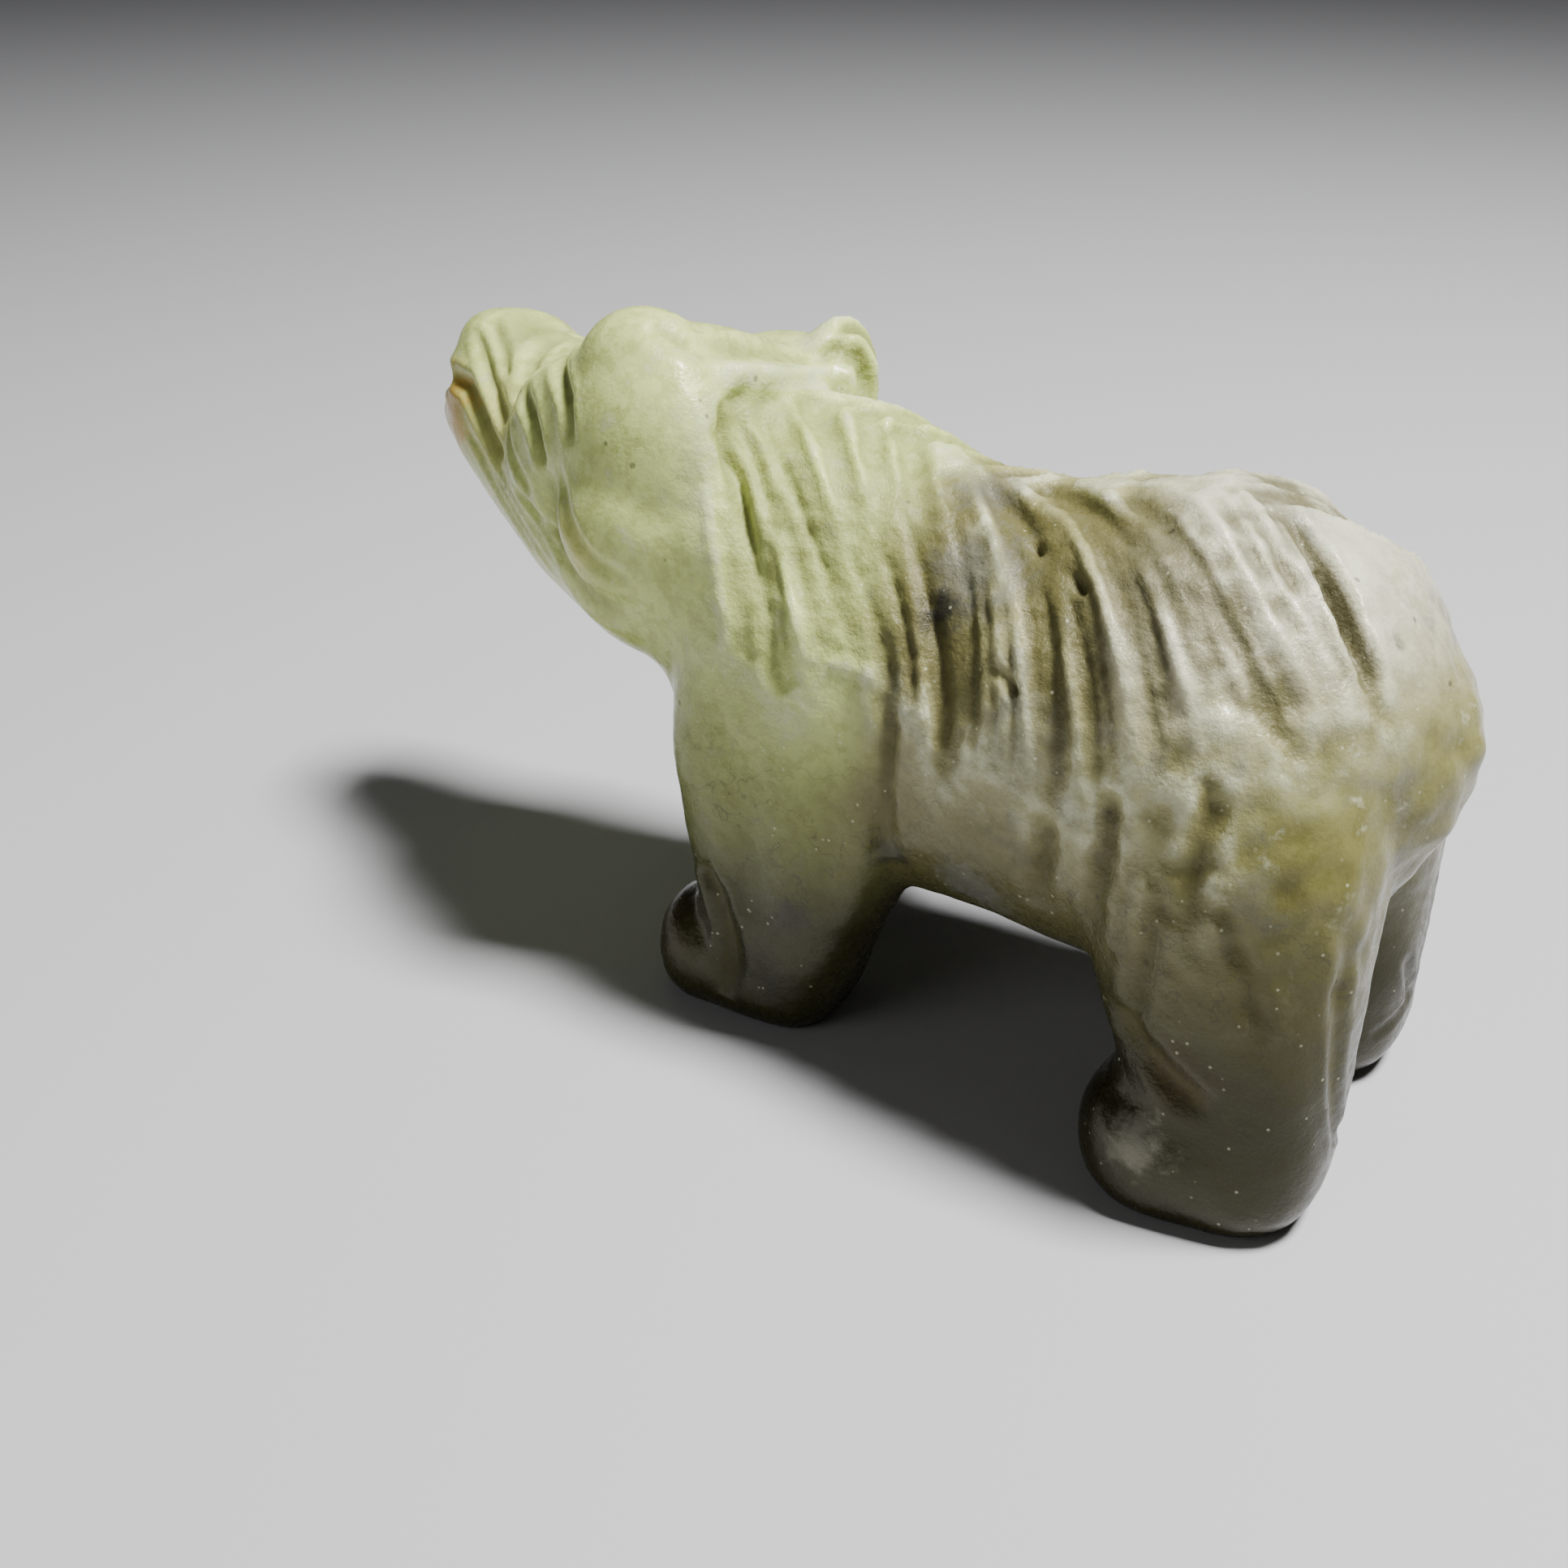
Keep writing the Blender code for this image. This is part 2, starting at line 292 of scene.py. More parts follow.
@dataclass(frozen=True)
class Head:
    """The head, in its own level frame between the ears.

    Attributes:
        spot: where that frame stands on the bear.
        turn: how far the nose points to the bear's right, in degrees.
        roll: how far the right ear hangs below the left, in degrees.
        chains: skull, crown, snout, nose and chin.
        paired_chains: temple and brow, once on each side.
        cheek: the left cheek, which the right one mirrors.
        left_ear: the ear towards the camera, worn low into the brow.
        right_ear: the narrower ear on the far side.
    """

    spot: Spot = (0.2, 31.3, 26.0)
    turn: float = 9.0
    roll: float = 13.0
    chains: tuple[Chain, ...] = (
        Chain((
            Mass((0, 0.0, -0.9), (6.9, 3.4, 4.6), 2.8),
            Mass((0, 4.0, -1.3), (5.5, 4.3, 4.5), 2.3),
        )),
        Chain((
            Mass((2.2, 0.6, 2.2), (3.2, 3.0, 2.3), 2.2),
            Mass((-3.0, -0.4, 1.4), (3.0, 2.6, 2.1), 2.2),
        )),
        Chain((
            Mass((0, 1.6, -4.2), (6.8, 4.6, 6.6), 2.3),
            Mass((0, 6.4, -3.4), (5.5, 4.2, 6.0), 2.4),
            Mass((0, 10.2, -2.7), (4.6, 3.6, 4.8), 2.4),
            Mass((0, 13.6, -1.7), (3.9, 3.0, 3.9), 2.4),
            Mass((0, 15.4, -1.1), (3.3, 2.1, 3.2), 2.4),
        )),
        Chain((
            Mass((0, 14.6, 0.9), (3.0, 2.4, 2.0), 2.3),
            Mass((0, 15.9, 0.8), (2.4, 1.8, 1.9), 2.3),
        )),
        Chain((
            Mass((0, 14.6, -3.2), (3.0, 2.4, 2.1), 2.2),
            Mass((0, 16.7, -2.5), (2.4, 1.9, 1.7), 2.2),
        )),
    )
    paired_chains: tuple[Chain, ...] = (
        Chain((
            Mass((4.5, 1.0, -0.6), (3.3, 4.6, 4.9), 2.1),
            Mass((3.7, 6.0, -2.2), (2.6, 3.8, 4.3), 2.1),
        )),
        Chain((
            Mass((4.3, 2.4, 1.1), (2.5, 3.0, 2.9)),
            Mass((3.2, 5.8, -0.6), (2.2, 2.8, 3.0), 2.1),
        )),
    )
    cheek: Mass = Mass((3.7, 0.9, -3.9), (4.2, 4.3, 4.3))
    left_ear: Mass = Mass((4.6, 1.6, 2.2), (2.6, 3.2, 2.8))
    right_ear: Mass = Mass((-5.2, -1.3, 2.5), (2.4, 1.9, 2.9))

    def frame(self) -> Matrix:
        """From the head's level frame to the bear's."""
        turn = Matrix.Rotation(math.radians(self.turn), 4, "Z")
        roll = Matrix.Rotation(-math.radians(self.roll), 4, "Y")
        return Matrix.Translation(self.spot) @ turn @ roll

    def masses(self, steps: int) -> Iterator[Mass]:
        """All the masses of the head.

        Args:
            steps: how many steps there are from one mass of a chain to the next.

        Yields:
            Each mass, in the head's own frame.
        """
        for chain in self.chains:
            yield from chain.linked(steps)
        for side in Side:
            for chain in self.paired_chains:
                yield from chain.on(side).linked(steps)
            yield self.cheek.on(side)
        yield self.left_ear
        yield self.right_ear


# ---- the carving -------------------------------------------------------------------------------


@dataclass(frozen=True)
class Cut:
    """One stroke of the wheel, or of a broad stone where it is shallow and wide.

    Attributes:
        depth: how deep it goes, in shares; below 0 it is a raised rim.
        width: how wide it is from its middle to where it is a third as deep.
        fade: the part of its run over which it fades in.
        tail: the part over which it fades out.
        bank: the height of the low bank on each side, as a part of the depth.
    """

    depth: float
    width: float
    fade: float = 0.16
    tail: float = 0.16
    bank: float = 0.22


class Skin:
    """The bear's skin while it is carved: its points, and how deep each is cut.

    Attributes:
        mesh: the mesh that is carved.
        scale: the size of a share.
        tree: the uncut skin, to lay paths on.
        points: the uncut points, in metres.
        normals: the outward directions at the points.
        depths: how deep each point is cut, in shares.
    """

    BANK_PLACE = 1.9
    BANK_SPREAD = 0.6
    REACH = 4.0

    def __init__(self, mesh: bpy.types.Mesh, scale: Scale) -> None:
        """Reads the uncut skin.

        Args:
            mesh: the mesh to carve.
            scale: the size of a share.
        """
        self.mesh = mesh
        self.scale = scale
        shape = bmesh.new()
        shape.from_mesh(mesh)
        self.tree = BVHTree.FromBMesh(shape)
        shape.free()
        count = len(mesh.vertices)
        points = np.empty(count * 3)
        normals = np.empty(count * 3)
        mesh.vertices.foreach_get("co", points)
        mesh.vertex_normals.foreach_get("vector", normals)
        self.points = points.reshape(-1, 3)
        self.normals = normals.reshape(-1, 3)
        self.depths = np.zeros(count)

    def spots(self) -> np.ndarray:
        """The side, fore and up of every point, in shares."""
        side, back, up = (self.points / self.scale.share).T
        return np.stack((side, MIDDLE_FORE - back, up), axis=1)

    def gaps(self, path: Sequence[Vector], reach: float) -> tuple[np.ndarray, ...]:
        """How far the points near a path are from it.

        Args:
            path: the points of the path, in metres.
            reach: how far from the path still counts, in metres.

        Returns:
            Which points are near, their distance, and their place along the path from 0 to 1.
        """
        line = np.array([tuple(spot) for spot in path])
        near = np.all((self.points > line.min(axis=0) - reach)
                      & (self.points < line.max(axis=0) + reach), axis=1)
        which = np.nonzero(near)[0]
        points = self.points[which]
        nearest = np.full(len(points), np.inf)
        along = np.zeros(len(points))
        legs = len(line) - 1
        for leg in range(legs):
            run = line[leg + 1] - line[leg]
            share = np.clip((points - line[leg]) @ run / (run @ run), 0.0, 1.0)
            gap = np.linalg.norm(points - line[leg] - share[:, None] * run, axis=1)
            closer = gap < nearest
            nearest[closer] = gap[closer]
            along[closer] = (leg + share[closer]) / legs
        return which, nearest, along

    def cut(self, path: Sequence[Vector], stroke: Cut) -> None:
        """Cuts one stroke along a path.

        Args:
            path: the points of the stroke on the skin, in metres.
            stroke: its depth and width.
        """
        if len(path) < 2:
            return
        width = stroke.width * self.scale.share
        which, gap, along = self.gaps(path, width * self.REACH)
        gap = gap / width
        fade = np.clip(np.minimum(along / stroke.fade, (1 - along) / stroke.tail), 0.0, 1.0)
        floor = np.exp(-gap ** 2)
        bank = stroke.bank * np.exp(-((gap - self.BANK_PLACE) / self.BANK_SPREAD) ** 2)
        self.depths[which] += stroke.depth * np.sqrt(fade) * (floor - bank)

    def finish(self) -> None:
        """Sinks every point by its depth, and keeps the depths for the stone's finish and for its
        painted shade and highlight.
        """
        moved = self.points - self.normals * (self.depths * self.scale.share)[:, None]
        self.mesh.vertices.foreach_set("co", moved.ravel())
        self.keep("relief", self.depths)
        self.mesh.update()

    def keep(self, name: str, values: np.ndarray) -> None:
        """Keeps a value at every point, for the finish to read.

        Args:
            name: what the finish calls it.
            values: one value for each point.
        """
        layer = self.mesh.attributes.new(name, "FLOAT", "POINT")
        layer.data.foreach_set("value", values.astype(np.float32))


@dataclass(frozen=True)
class Lock:
    """A fur groove from the spine down the flank.

    Attributes:
        fore: where it starts on the spine.
        sweep: how far back it has gone by the middle of the flank.
        first: the angle down from the spine where it starts, in degrees.
        last: the angle where it ends.
        depth: its depth, in shares.
    """

    fore: float
    sweep: float
    first: float
    last: float
    depth: float

    AXIS_UP = 17.4
    STEP = 4
    FAR_OUT = 30

    def towards(self, other: "Lock", share: float) -> "Lock":
        """The lock a share of the way to the next one.

        Args:
            other: the next lock.
            share: 0 for this one, 1 for the other.

        Returns:
            The lock between the two.
        """
        pairs = zip(self.values(), other.values())
        return Lock(*(a + (b - a) * share for a, b in pairs))

    def values(self) -> tuple[float, ...]:
        """Its numbers, in the order that the class takes them."""
        return self.fore, self.sweep, self.first, self.last, self.depth

    def path(self, skin: Skin, side: Side) -> list[Vector]:
        """Where it lies on the skin.

        Args:
            skin: the uncut skin.
            side: which flank it runs down.

        Returns:
            The points of the groove, in metres.
        """
        path = []
        steps = max(2, round((self.last - self.first) / self.STEP))
        for step in range(steps + 1):
            turn = math.radians(self.first + (self.last - self.first) * step / steps)
            out = Vector((side.value * math.sin(turn), 0, math.cos(turn)))
            axis = skin.scale.place((0, self.fore - self.sweep * math.sin(turn), self.AXIS_UP))
            spot = skin.tree.ray_cast(axis + out * self.FAR_OUT * skin.scale.share, -out)[0]
            if spot is not None:
                path.append(spot)
        return path


@dataclass(frozen=True)
class Fur:
    """The grooves down the neck, flanks and rump, and the hairs cut on the ridges between them.

    Attributes:
        locks: the deep grooves, from the neck back.
        low_locks: the shallow ones low on the thigh and belly.
        width: how wide a deep groove is.
        tail: the part of a groove over which it fades out down the flank.
        hair: the stroke of a hair.
        hairs: where the hairs lie between one groove and the next.
        widest: the widest ridge, in fore, that still gets hairs.
        spread: how far round a groove the skin still counts as furred.
    """

    REACH = 3

    locks: tuple[Lock, ...] = (
        Lock(31.3, 6.0, 22, 76, 0.50),
        Lock(31.6, 8.0, 18, 84, 0.58),
        Lock(31.8, 11.0, 14, 70, 0.58),
        Lock(30.2, 11.0, 8, 70, 0.54),
        Lock(27.2, 9.1, -2, 78, 0.58),
        Lock(24.8, 7.8, -4, 76, 0.52),
        Lock(22.6, 6.5, -8, 96, 0.60),
        Lock(20.7, 6.0, 4, 84, 0.50),
        Lock(19.0, 7.8, 0, 92, 0.62),
        Lock(18.0, 8.9, 8, 80, 0.50),
        Lock(16.1, 9.7, -4, 74, 0.55),
        Lock(14.8, 11.0, 10, 58, 0.38),
        Lock(13.3, 11.9, 2, 62, 0.42),
        Lock(10.0, 11.6, 4, 44, 0.28),
        Lock(7.3, 10.6, -4, 30, 0.24),
        Lock(5.8, 7.0, 12, 46, 0.26),
    )
    low_locks: tuple[Lock, ...] = (
        Lock(11.9, 3.0, 80, 124, 0.34),
        Lock(9.4, 3.2, 98, 140, 0.32),
        Lock(14.0, 2.6, 92, 126, 0.26),
        Lock(7.6, 2.4, 72, 112, 0.26),
    )
    width: float = 0.50
    tail: float = 0.45
    hair: Cut = Cut(0.27, 0.30, fade=0.3, tail=0.4, bank=0.35)
    hairs: tuple[float, ...] = (0.28, 0.52, 0.76)
    widest: float = 4.0
    spread: float = 1.6

    def carve(self, skin: Skin) -> None:
        """Cuts the fur into both flanks.

        Args:
            skin: the skin to carve.
        """
        near = np.zeros(len(skin.points))
        for side in Side:
            for lock in self.locks + self.low_locks:
                path = lock.path(skin, side)
                skin.cut(path, Cut(lock.depth, self.width, tail=self.tail))
                self.note_fur(skin, path, near)
            for lock in self.between():
                skin.cut(lock.path(skin, side), self.hair)
        skin.keep("fur", near)

    def between(self) -> Iterator[Lock]:
        """The hairs on the ridges.

        Yields:
            Each hair, as a lock of its own.
        """
        for first, last in zip(self.locks, self.locks[1:]):
            if abs(first.fore - last.fore) > self.widest:
                continue
            for share in self.hairs:
                yield first.towards(last, share)

    def note_fur(self, skin: Skin, path: Sequence[Vector], near: np.ndarray) -> None:
        """Marks the skin round a groove as furred.

        Args:
            skin: the skin that is carved.
            path: the points of the groove.
            near: how furred each point is, from 0 to 1, which this raises.
        """
        spread = self.spread * skin.scale.share
        if len(path) < 2:
            return
        which, gap, _ = skin.gaps(path, self.REACH * spread)
        near[which] = np.maximum(near[which], np.exp(-(gap / spread) ** 2))


@dataclass(frozen=True)
class Stroke:
    """A cut by points of the frame that it is given in.

    Attributes:
        spots: its points.
        cut: its depth and width.
        both: whether the other side has it too.
    """

    spots: tuple[Spot, ...]
    cut: Cut
    both: bool = True

    def carve(self, skin: Skin, frame: Matrix, stride: float = 0.0, top: float = 1.0) -> None:
        """Cuts it into the skin.

        Args:
            skin: the skin to carve.
            frame: from the frame of its points to the bear's.
            stride: how far the limb on the right is set forward at the ground.
            top: how high that limb turns.
        """
        for side in Side if self.both else (Side.LEFT,):
            path = []
            for across, fore, up in self.spots:
                ahead = stride * (1 - up / top) if side is Side.RIGHT else 0.0
                spot = frame @ Vector((side.value * across, fore + ahead, up))
                path.append(skin.tree.find_nearest(skin.scale.place(spot))[0])
            skin.cut(path, self.cut)


@dataclass(frozen=True)
class Face:
    """The cuts of the muzzle, cheeks, ears and nape, in the head's own frame.

    Attributes:
        wheel: the narrow cuts of the muzzle and brow.
        scratches: the fine lines along the jaw and over the crown.
        broad: the hollows and rims.
    """

    wheel: tuple[Stroke, ...] = (
        Stroke(((2.1, 14.6, 2.4), (3.3, 12.4, 1.3), (4.1, 11.1, 0.2)), Cut(0.30, 0.34)),
        Stroke(((2.6, 14.9, 1.7), (3.6, 12.6, 0.2), (4.3, 11.0, -0.9), (4.7, 9.8, -1.7)),
               Cut(0.32, 0.36)),
        Stroke(((3.2, 16.0, -0.6), (3.8, 14.0, -0.7), (4.2, 12.4, -1.7), (4.5, 11.0, -2.7),
                (4.9, 9.8, -3.4)), Cut(0.42, 0.38)),
        Stroke(((4.8, 8.1, 0.0), (5.8, 6.3, -0.6), (6.3, 5.3, -1.4), (6.4, 4.6, -2.4)),
               Cut(0.36, 0.38)),
        Stroke(((4.4, 7.2, 2.0), (5.1, 6.0, 1.8), (6.4, 4.2, 1.2), (6.9, 3.1, 0.6),
                (7.2, 2.3, -1.0)), Cut(0.36, 0.38)),
        Stroke(((4.8, 9.3, -1.3), (5.2, 7.8, -2.5), (5.7, 6.0, -3.8)), Cut(0.2, 0.28)),
        Stroke(((0.3, 11.5, 2.1), (2.0, 10.7, 1.7), (2.9, 10.3, 1.0), (4.2, 9.3, 0.3),
                (4.6, 9.6, -0.6)), Cut(0.36, 0.5)),
        Stroke(((3.4, 16.0, -0.9), (2.2, 17.2, -0.8), (0.0, 17.9, -0.8), (-2.2, 17.2, -0.8),
                (-3.4, 16.0, -0.9)), Cut(0.5, 0.45), both=False),
    )
    scratches: tuple[Stroke, ...] = (
        Stroke(((3.9, 12.6, -3.0), (4.8, 8.8, -5.2), (5.1, 4.9, -7.6)), Cut(0.12, 0.2)),
        Stroke(((4.9, 9.4, -2.9), (5.6, 6.3, -4.8), (5.8, 2.9, -7.0)), Cut(0.14, 0.22)),
        Stroke(((5.3, 7.6, -4.0), (6.0, 4.6, -5.4), (6.2, 1.6, -7.2)), Cut(0.14, 0.22)),
        Stroke(((3.8, 13.5, -2.6), (4.4, 10.4, -4.9), (4.9, 7.0, -7.1)), Cut(0.14, 0.22)),
        Stroke(((4.4, 11.0, -3.3), (5.2, 7.6, -5.0), (5.5, 4.2, -6.8)), Cut(0.10, 0.18)),
        Stroke(((4.7, -0.7, 4.1), (2.3, -0.5, 4.2), (-0.2, -0.3, 4.0), (-2.6, 0.4, 4.1)),
               Cut(-0.10, 0.22), both=False),
        Stroke(((5.4, -1.6, 3.6), (3.4, -1.9, 3.6), (1.0, -2.0, 3.3)), Cut(0.12, 0.22),
               both=False),
    )
    broad: tuple[Stroke, ...] = (
        Stroke(((7.2, 3.6, -2.2), (7.5, 2.6, -3.4), (7.6, 1.5, -4.6), (7.3, 0.3, -5.6),
                (6.8, -1.2, -6.0)), Cut(0.22, 0.36)),
        Stroke(((7.0, 4.6, -2.4), (6.8, 4.2, -5.2), (6.0, 2.4, -7.4), (5.6, 0.0, -8.0)),
               Cut(0.32, 0.8)),
        Stroke(((5.5, 0.5, 4.4), (5.1, -0.4, 4.0), (4.6, -0.9, 4.0)), Cut(0.3, 0.7),
               both=False),
        Stroke(((4.0, -1.4, 3.9), (1.4, -1.3, 3.7), (-0.4, -1.3, 3.6), (-2.9, -1.3, 3.8)),
               Cut(0.3, 0.8), both=False),
        Stroke(((4.2, -2.6, 3.5), (2.1, -2.5, 3.2), (0.2, -2.6, 3.0), (-2.7, -2.6, 2.7)),
               Cut(-0.35, 0.6), both=False),
        Stroke(((3.4, -4.2, 1.5), (1.8, -4.5, 1.6), (-1.8, -4.4, 1.6)), Cut(0.3, 1.2),
               both=False),
    )

    def carve(self, skin: Skin, head: Head) -> None:
        """Cuts the face into the skin.

        Args:
            skin: the skin to carve.
            head: the head that it is on.
        """
        for stroke in self.wheel + self.scratches + self.broad:
            stroke.carve(skin, head.frame())


@dataclass(frozen=True)
class Creases:
    """The creases of the legs and paws, in the bear's own frame.

    Attributes:
        front: those of the front legs.
        hind: those of the hind legs.
        nicks: the breaks across the ridges of the left flank.
    """

    front: tuple[Stroke, ...] = (
        Stroke(((7.6, 28.2, 8.4), (8.2, 27.4, 7.2), (8.1, 26.9, 5.5), (8.0, 26.8, 3.6),
                (7.9, 27.1, 1.4)), Cut(0.42, 0.55, fade=0.1)),
        Stroke(((6.9, 19.7, 21.6), (8.1, 18.8, 18.0), (7.9, 18.9, 14.6), (7.4, 19.1, 11.6)),
               Cut(0.30, 0.45)),
        Stroke(((8.0, 21.6, 17.0), (8.3, 21.7, 12.0), (8.2, 21.9, 8.0)), Cut(0.14, 0.8)),
        Stroke(((8.3, 25.2, 16.0), (8.4, 25.4, 11.0), (8.2, 25.4, 6.5)), Cut(0.12, 0.9)),
    )
    hind: tuple[Stroke, ...] = (
        Stroke(((8.2, 8.0, 9.4), (9.2, 6.6, 8.2), (9.5, 5.2, 7.3), (9.6, 3.4, 6.4)),
               Cut(0.30, 0.6)),
        Stroke(((7.4, 0.0, 14.8), (7.5, -0.3, 11.3), (6.9, -0.6, 7.6), (5.8, -0.8, 4.0)),
               Cut(0.22, 0.4)),
        Stroke(((9.6, 4.3, 15.9), (9.5, 2.8, 13.2), (9.3, 1.8, 10.1)), Cut(0.16, 0.4)),
        Stroke(((3.8, -0.4, 7.1), (5.3, -0.8, 4.1), (3.1, 0.2, 2.9)), Cut(0.18, 0.3)),
    )
    nicks: tuple[Stroke, ...] = (
        Stroke(((5.2, 13.2, 25.6), (5.9, 11.9, 24.8)), Cut(0.3, 0.25, fade=0.4), both=False),
        Stroke(((4.0, 15.6, 26.2), (4.6, 14.6, 25.8)), Cut(0.26, 0.22, fade=0.4), both=False),
        Stroke(((7.6, 14.6, 21.8), (7.9, 13.2, 21.0)), Cut(0.22, 0.22, fade=0.4), both=False),
    )

    def carve(self, skin: Skin, legs: Legs) -> None:
        """Cuts the creases into the skin.

        Args:
            skin: the skin to carve.
            legs: the legs that they are on.
        """
        level = Matrix.Identity(4)
        for stroke in self.front:
            stroke.carve(skin, level, legs.stride, legs.shoulder())
        for stroke in self.hind + self.nicks:
            stroke.carve(skin, level)


@dataclass(frozen=True)
class Ripple:
    """Small lumps that the tool leaves.

    Attributes:
        size: how wide a lump is, in shares.
        height: how far it stands out, in shares.
        salt: an offset, so that two ripples differ.
        bare: how much of it there is away from its own place.
        lost: how much of it the face loses.
    """

    size: float
    height: float
    salt: float
    bare: float
    lost: float

    def lumps(self, spots: np.ndarray, place: np.ndarray, face: np.ndarray) -> np.ndarray:
        """The height of the lumps at each point.

        Args:
            spots: side, fore and up of the points, in shares.
            place: how far each point is in the ripple's own place, from 0 to 1.
            face: how far it is on the face, from 0 to 1.

        Returns:
            The heights, in shares.
        """
        seeds = spots / self.size + self.salt
        height = np.array([noise.noise(Vector(seed)) for seed in seeds]) * self.height
        return height * (self.bare + (1 - self.bare) * place) * (1 - self.lost * face)


@dataclass(frozen=True)
class Handwork:
    """The unevenness that hand carving leaves on the skin.

    Attributes:
        chatter: small knobs on the furred ridges.
        knobs: larger ones on the rump and thigh.
        swell: slow unevenness everywhere.
        rump_fore: the fore behind which the rump begins.
        rump_up: the height over which it begins.
        rump_fade: over how many shares it comes in.
        face_fore: the fore where the face begins.
        face_fade: over how many shares it comes in.
    """

    chatter: Ripple = Ripple(0.62, 0.09, salt=3.7, bare=0.25, lost=0.6)
    knobs: Ripple = Ripple(1.25, 0.16, salt=11.3, bare=0.15, lost=0.8)
    swell: Ripple = Ripple(3.4, 0.16, salt=23.9, bare=1.0, lost=0.6)
    rump_fore: float = 13.0
    rump_up: float = 9.0
    rump_fade: float = 5.0
    face_fore: float = 30.0
    face_fade: float = 4.0

    def carve(self, skin: Skin) -> None:
        """Works the unevenness into the skin.

        Args:
            skin: the skin to carve.
        """
        spots = skin.spots()
        fore, up = spots[:, 1], spots[:, 2]
        fur = np.zeros(len(spots), dtype=np.float32)
        skin.mesh.attributes["fur"].data.foreach_get("value", fur)
        rump = np.clip((self.rump_fore - fore) / self.rump_fade, 0.0, 1.0)
        rump *= np.clip((up - self.rump_up) / self.rump_fade, 0.0, 1.0)
        face = np.clip((fore - self.face_fore) / self.face_fade, 0.0, 1.0)
        for ripple, place in ((self.chatter, fur), (self.knobs, rump), (self.swell, rump)):
            skin.depths -= ripple.lumps(spots, place, face)


# ---- the finish --------------------------------------------------------------------------------


class Painter:
    """Adds the nodes of one material.

    Attributes:
        tree: the material's nodes.
    """

    def __init__(self, tree: bpy.types.NodeTree) -> None:
        """Takes the nodes to add to."""
        self.tree = tree

    def node(self, kind: str, settings: dict | None = None, **inputs: object) -> bpy.types.Node:
        """Adds one node.

        Args:
            kind: the node's type.
            settings: its own settings, by name, set before its sockets.
            inputs: values or links of its sockets; a name's underscores are spaces, and a name
                that starts with "i" and a number is a socket by its place.

        Returns:
            The node.
        """
        node = self.tree.nodes.new(kind)
        for name, value in (settings or {}).items():
            setattr(node, name, value)
        for name, value in inputs.items():
            by_place = name[0] == "i" and name[1:].isdigit()
            socket = node.inputs[int(name[1:]) if by_place else name.replace("_", " ")]
            if isinstance(value, Value):
                value = value.socket
            if isinstance(value, bpy.types.NodeSocket):
                self.tree.links.new(value, socket)
            else:
                socket.default_value = value
        return node

    def value(self, node: bpy.types.Node, output: int | str = 0) -> "Value":
        """A node's output as a value for arithmetic."""
        return Value(self, node.outputs[output])

    def mix(self, share: "Value", first: object, last: object, how: str = "MIX") -> "Value":
        """Mixes two colours.

        Args:
            share: how much of the last.
            first: a colour or a value.
            last: a colour or a value.
            how: the way of mixing.

        Returns:
            The mixed colour.
        """
        settings = {"data_type": "RGBA", "blend_type": how}
        node = self.node("ShaderNodeMix", settings, i0=share, i6=first, i7=last)
        return self.value(node, 2)


class Value:
    """A shader value that takes Python's arithmetic.

    Attributes:
        painter: adds the nodes.
        socket: the output that holds the value.
    """

    def __init__(self, painter: Painter, socket: bpy.types.NodeSocket) -> None:
        """Wraps an output."""
        self.painter = painter
        self.socket = socket

    def _math(self, operation: str, first: object, last: object = 0.0) -> "Value":
        """One Math node on two values.

        Args:
            operation: what it works out.
            first: the first value.
            last: the second value.

        Returns:
            The result.
        """
        node = self.painter.node("ShaderNodeMath", {"operation": operation}, i0=first, i1=last)
        return Value(self.painter, node.outputs[0])

    def __add__(self, other: object) -> "Value":
        """The sum."""
        return self._math("ADD", self, other)

    __radd__ = __add__

    def __sub__(self, other: object) -> "Value":
        """The difference."""
        return self._math("SUBTRACT", self, other)

    def __rsub__(self, other: object) -> "Value":
        """The difference the other way round."""
        return self._math("SUBTRACT", other, self)

    def __mul__(self, other: object) -> "Value":
        """The product."""
        return self._math("MULTIPLY", self, other)

    __rmul__ = __mul__

    def size(self) -> "Value":
        """The value without its sign."""
        return self._math("ABSOLUTE", self)

    def most(self, other: object) -> "Value":
        """The larger of two values."""
        return self._math("MAXIMUM", self, other)

    def step(self, low: float, high: float) -> "Value":
        """0 below the low value, 1 above the high one, and smooth between.

        Args:
            low: where the step starts.
            high: where it ends; if it is less than low, the step goes down.

        Returns:
            The step.
        """
        turned = low > high
        settings = {"interpolation_type": "SMOOTHSTEP"}
        node = self.painter.node("ShaderNodeMapRange", settings, Value=self,
                                 From_Min=min(low, high), From_Max=max(low, high),
                                 To_Min=1.0 if turned else 0.0, To_Max=0.0 if turned else 1.0)
        return Value(self.painter, node.outputs[0])


class Reading(Enum):
    """What the finish can be told of a place on the stone."""

    FORE = "fore"
    UP = "up"
    RELIEF = "relief"
    FUR = "fur"
    CLOUD = "cloud"
    FINE = "fine"
    WISPS = "wisps"


@dataclass(frozen=True)
class Ground:
    """What the finish reads at every place of the stone.

    Attributes:
        paint: adds the nodes.
        where: the coordinates, in shares.
        drift: the slow wandering of the stone's borders, in shares.
        readings: the other values, by name.
    """

    paint: Painter
    where: Value
    drift: Value
    readings: dict[Reading, Value]


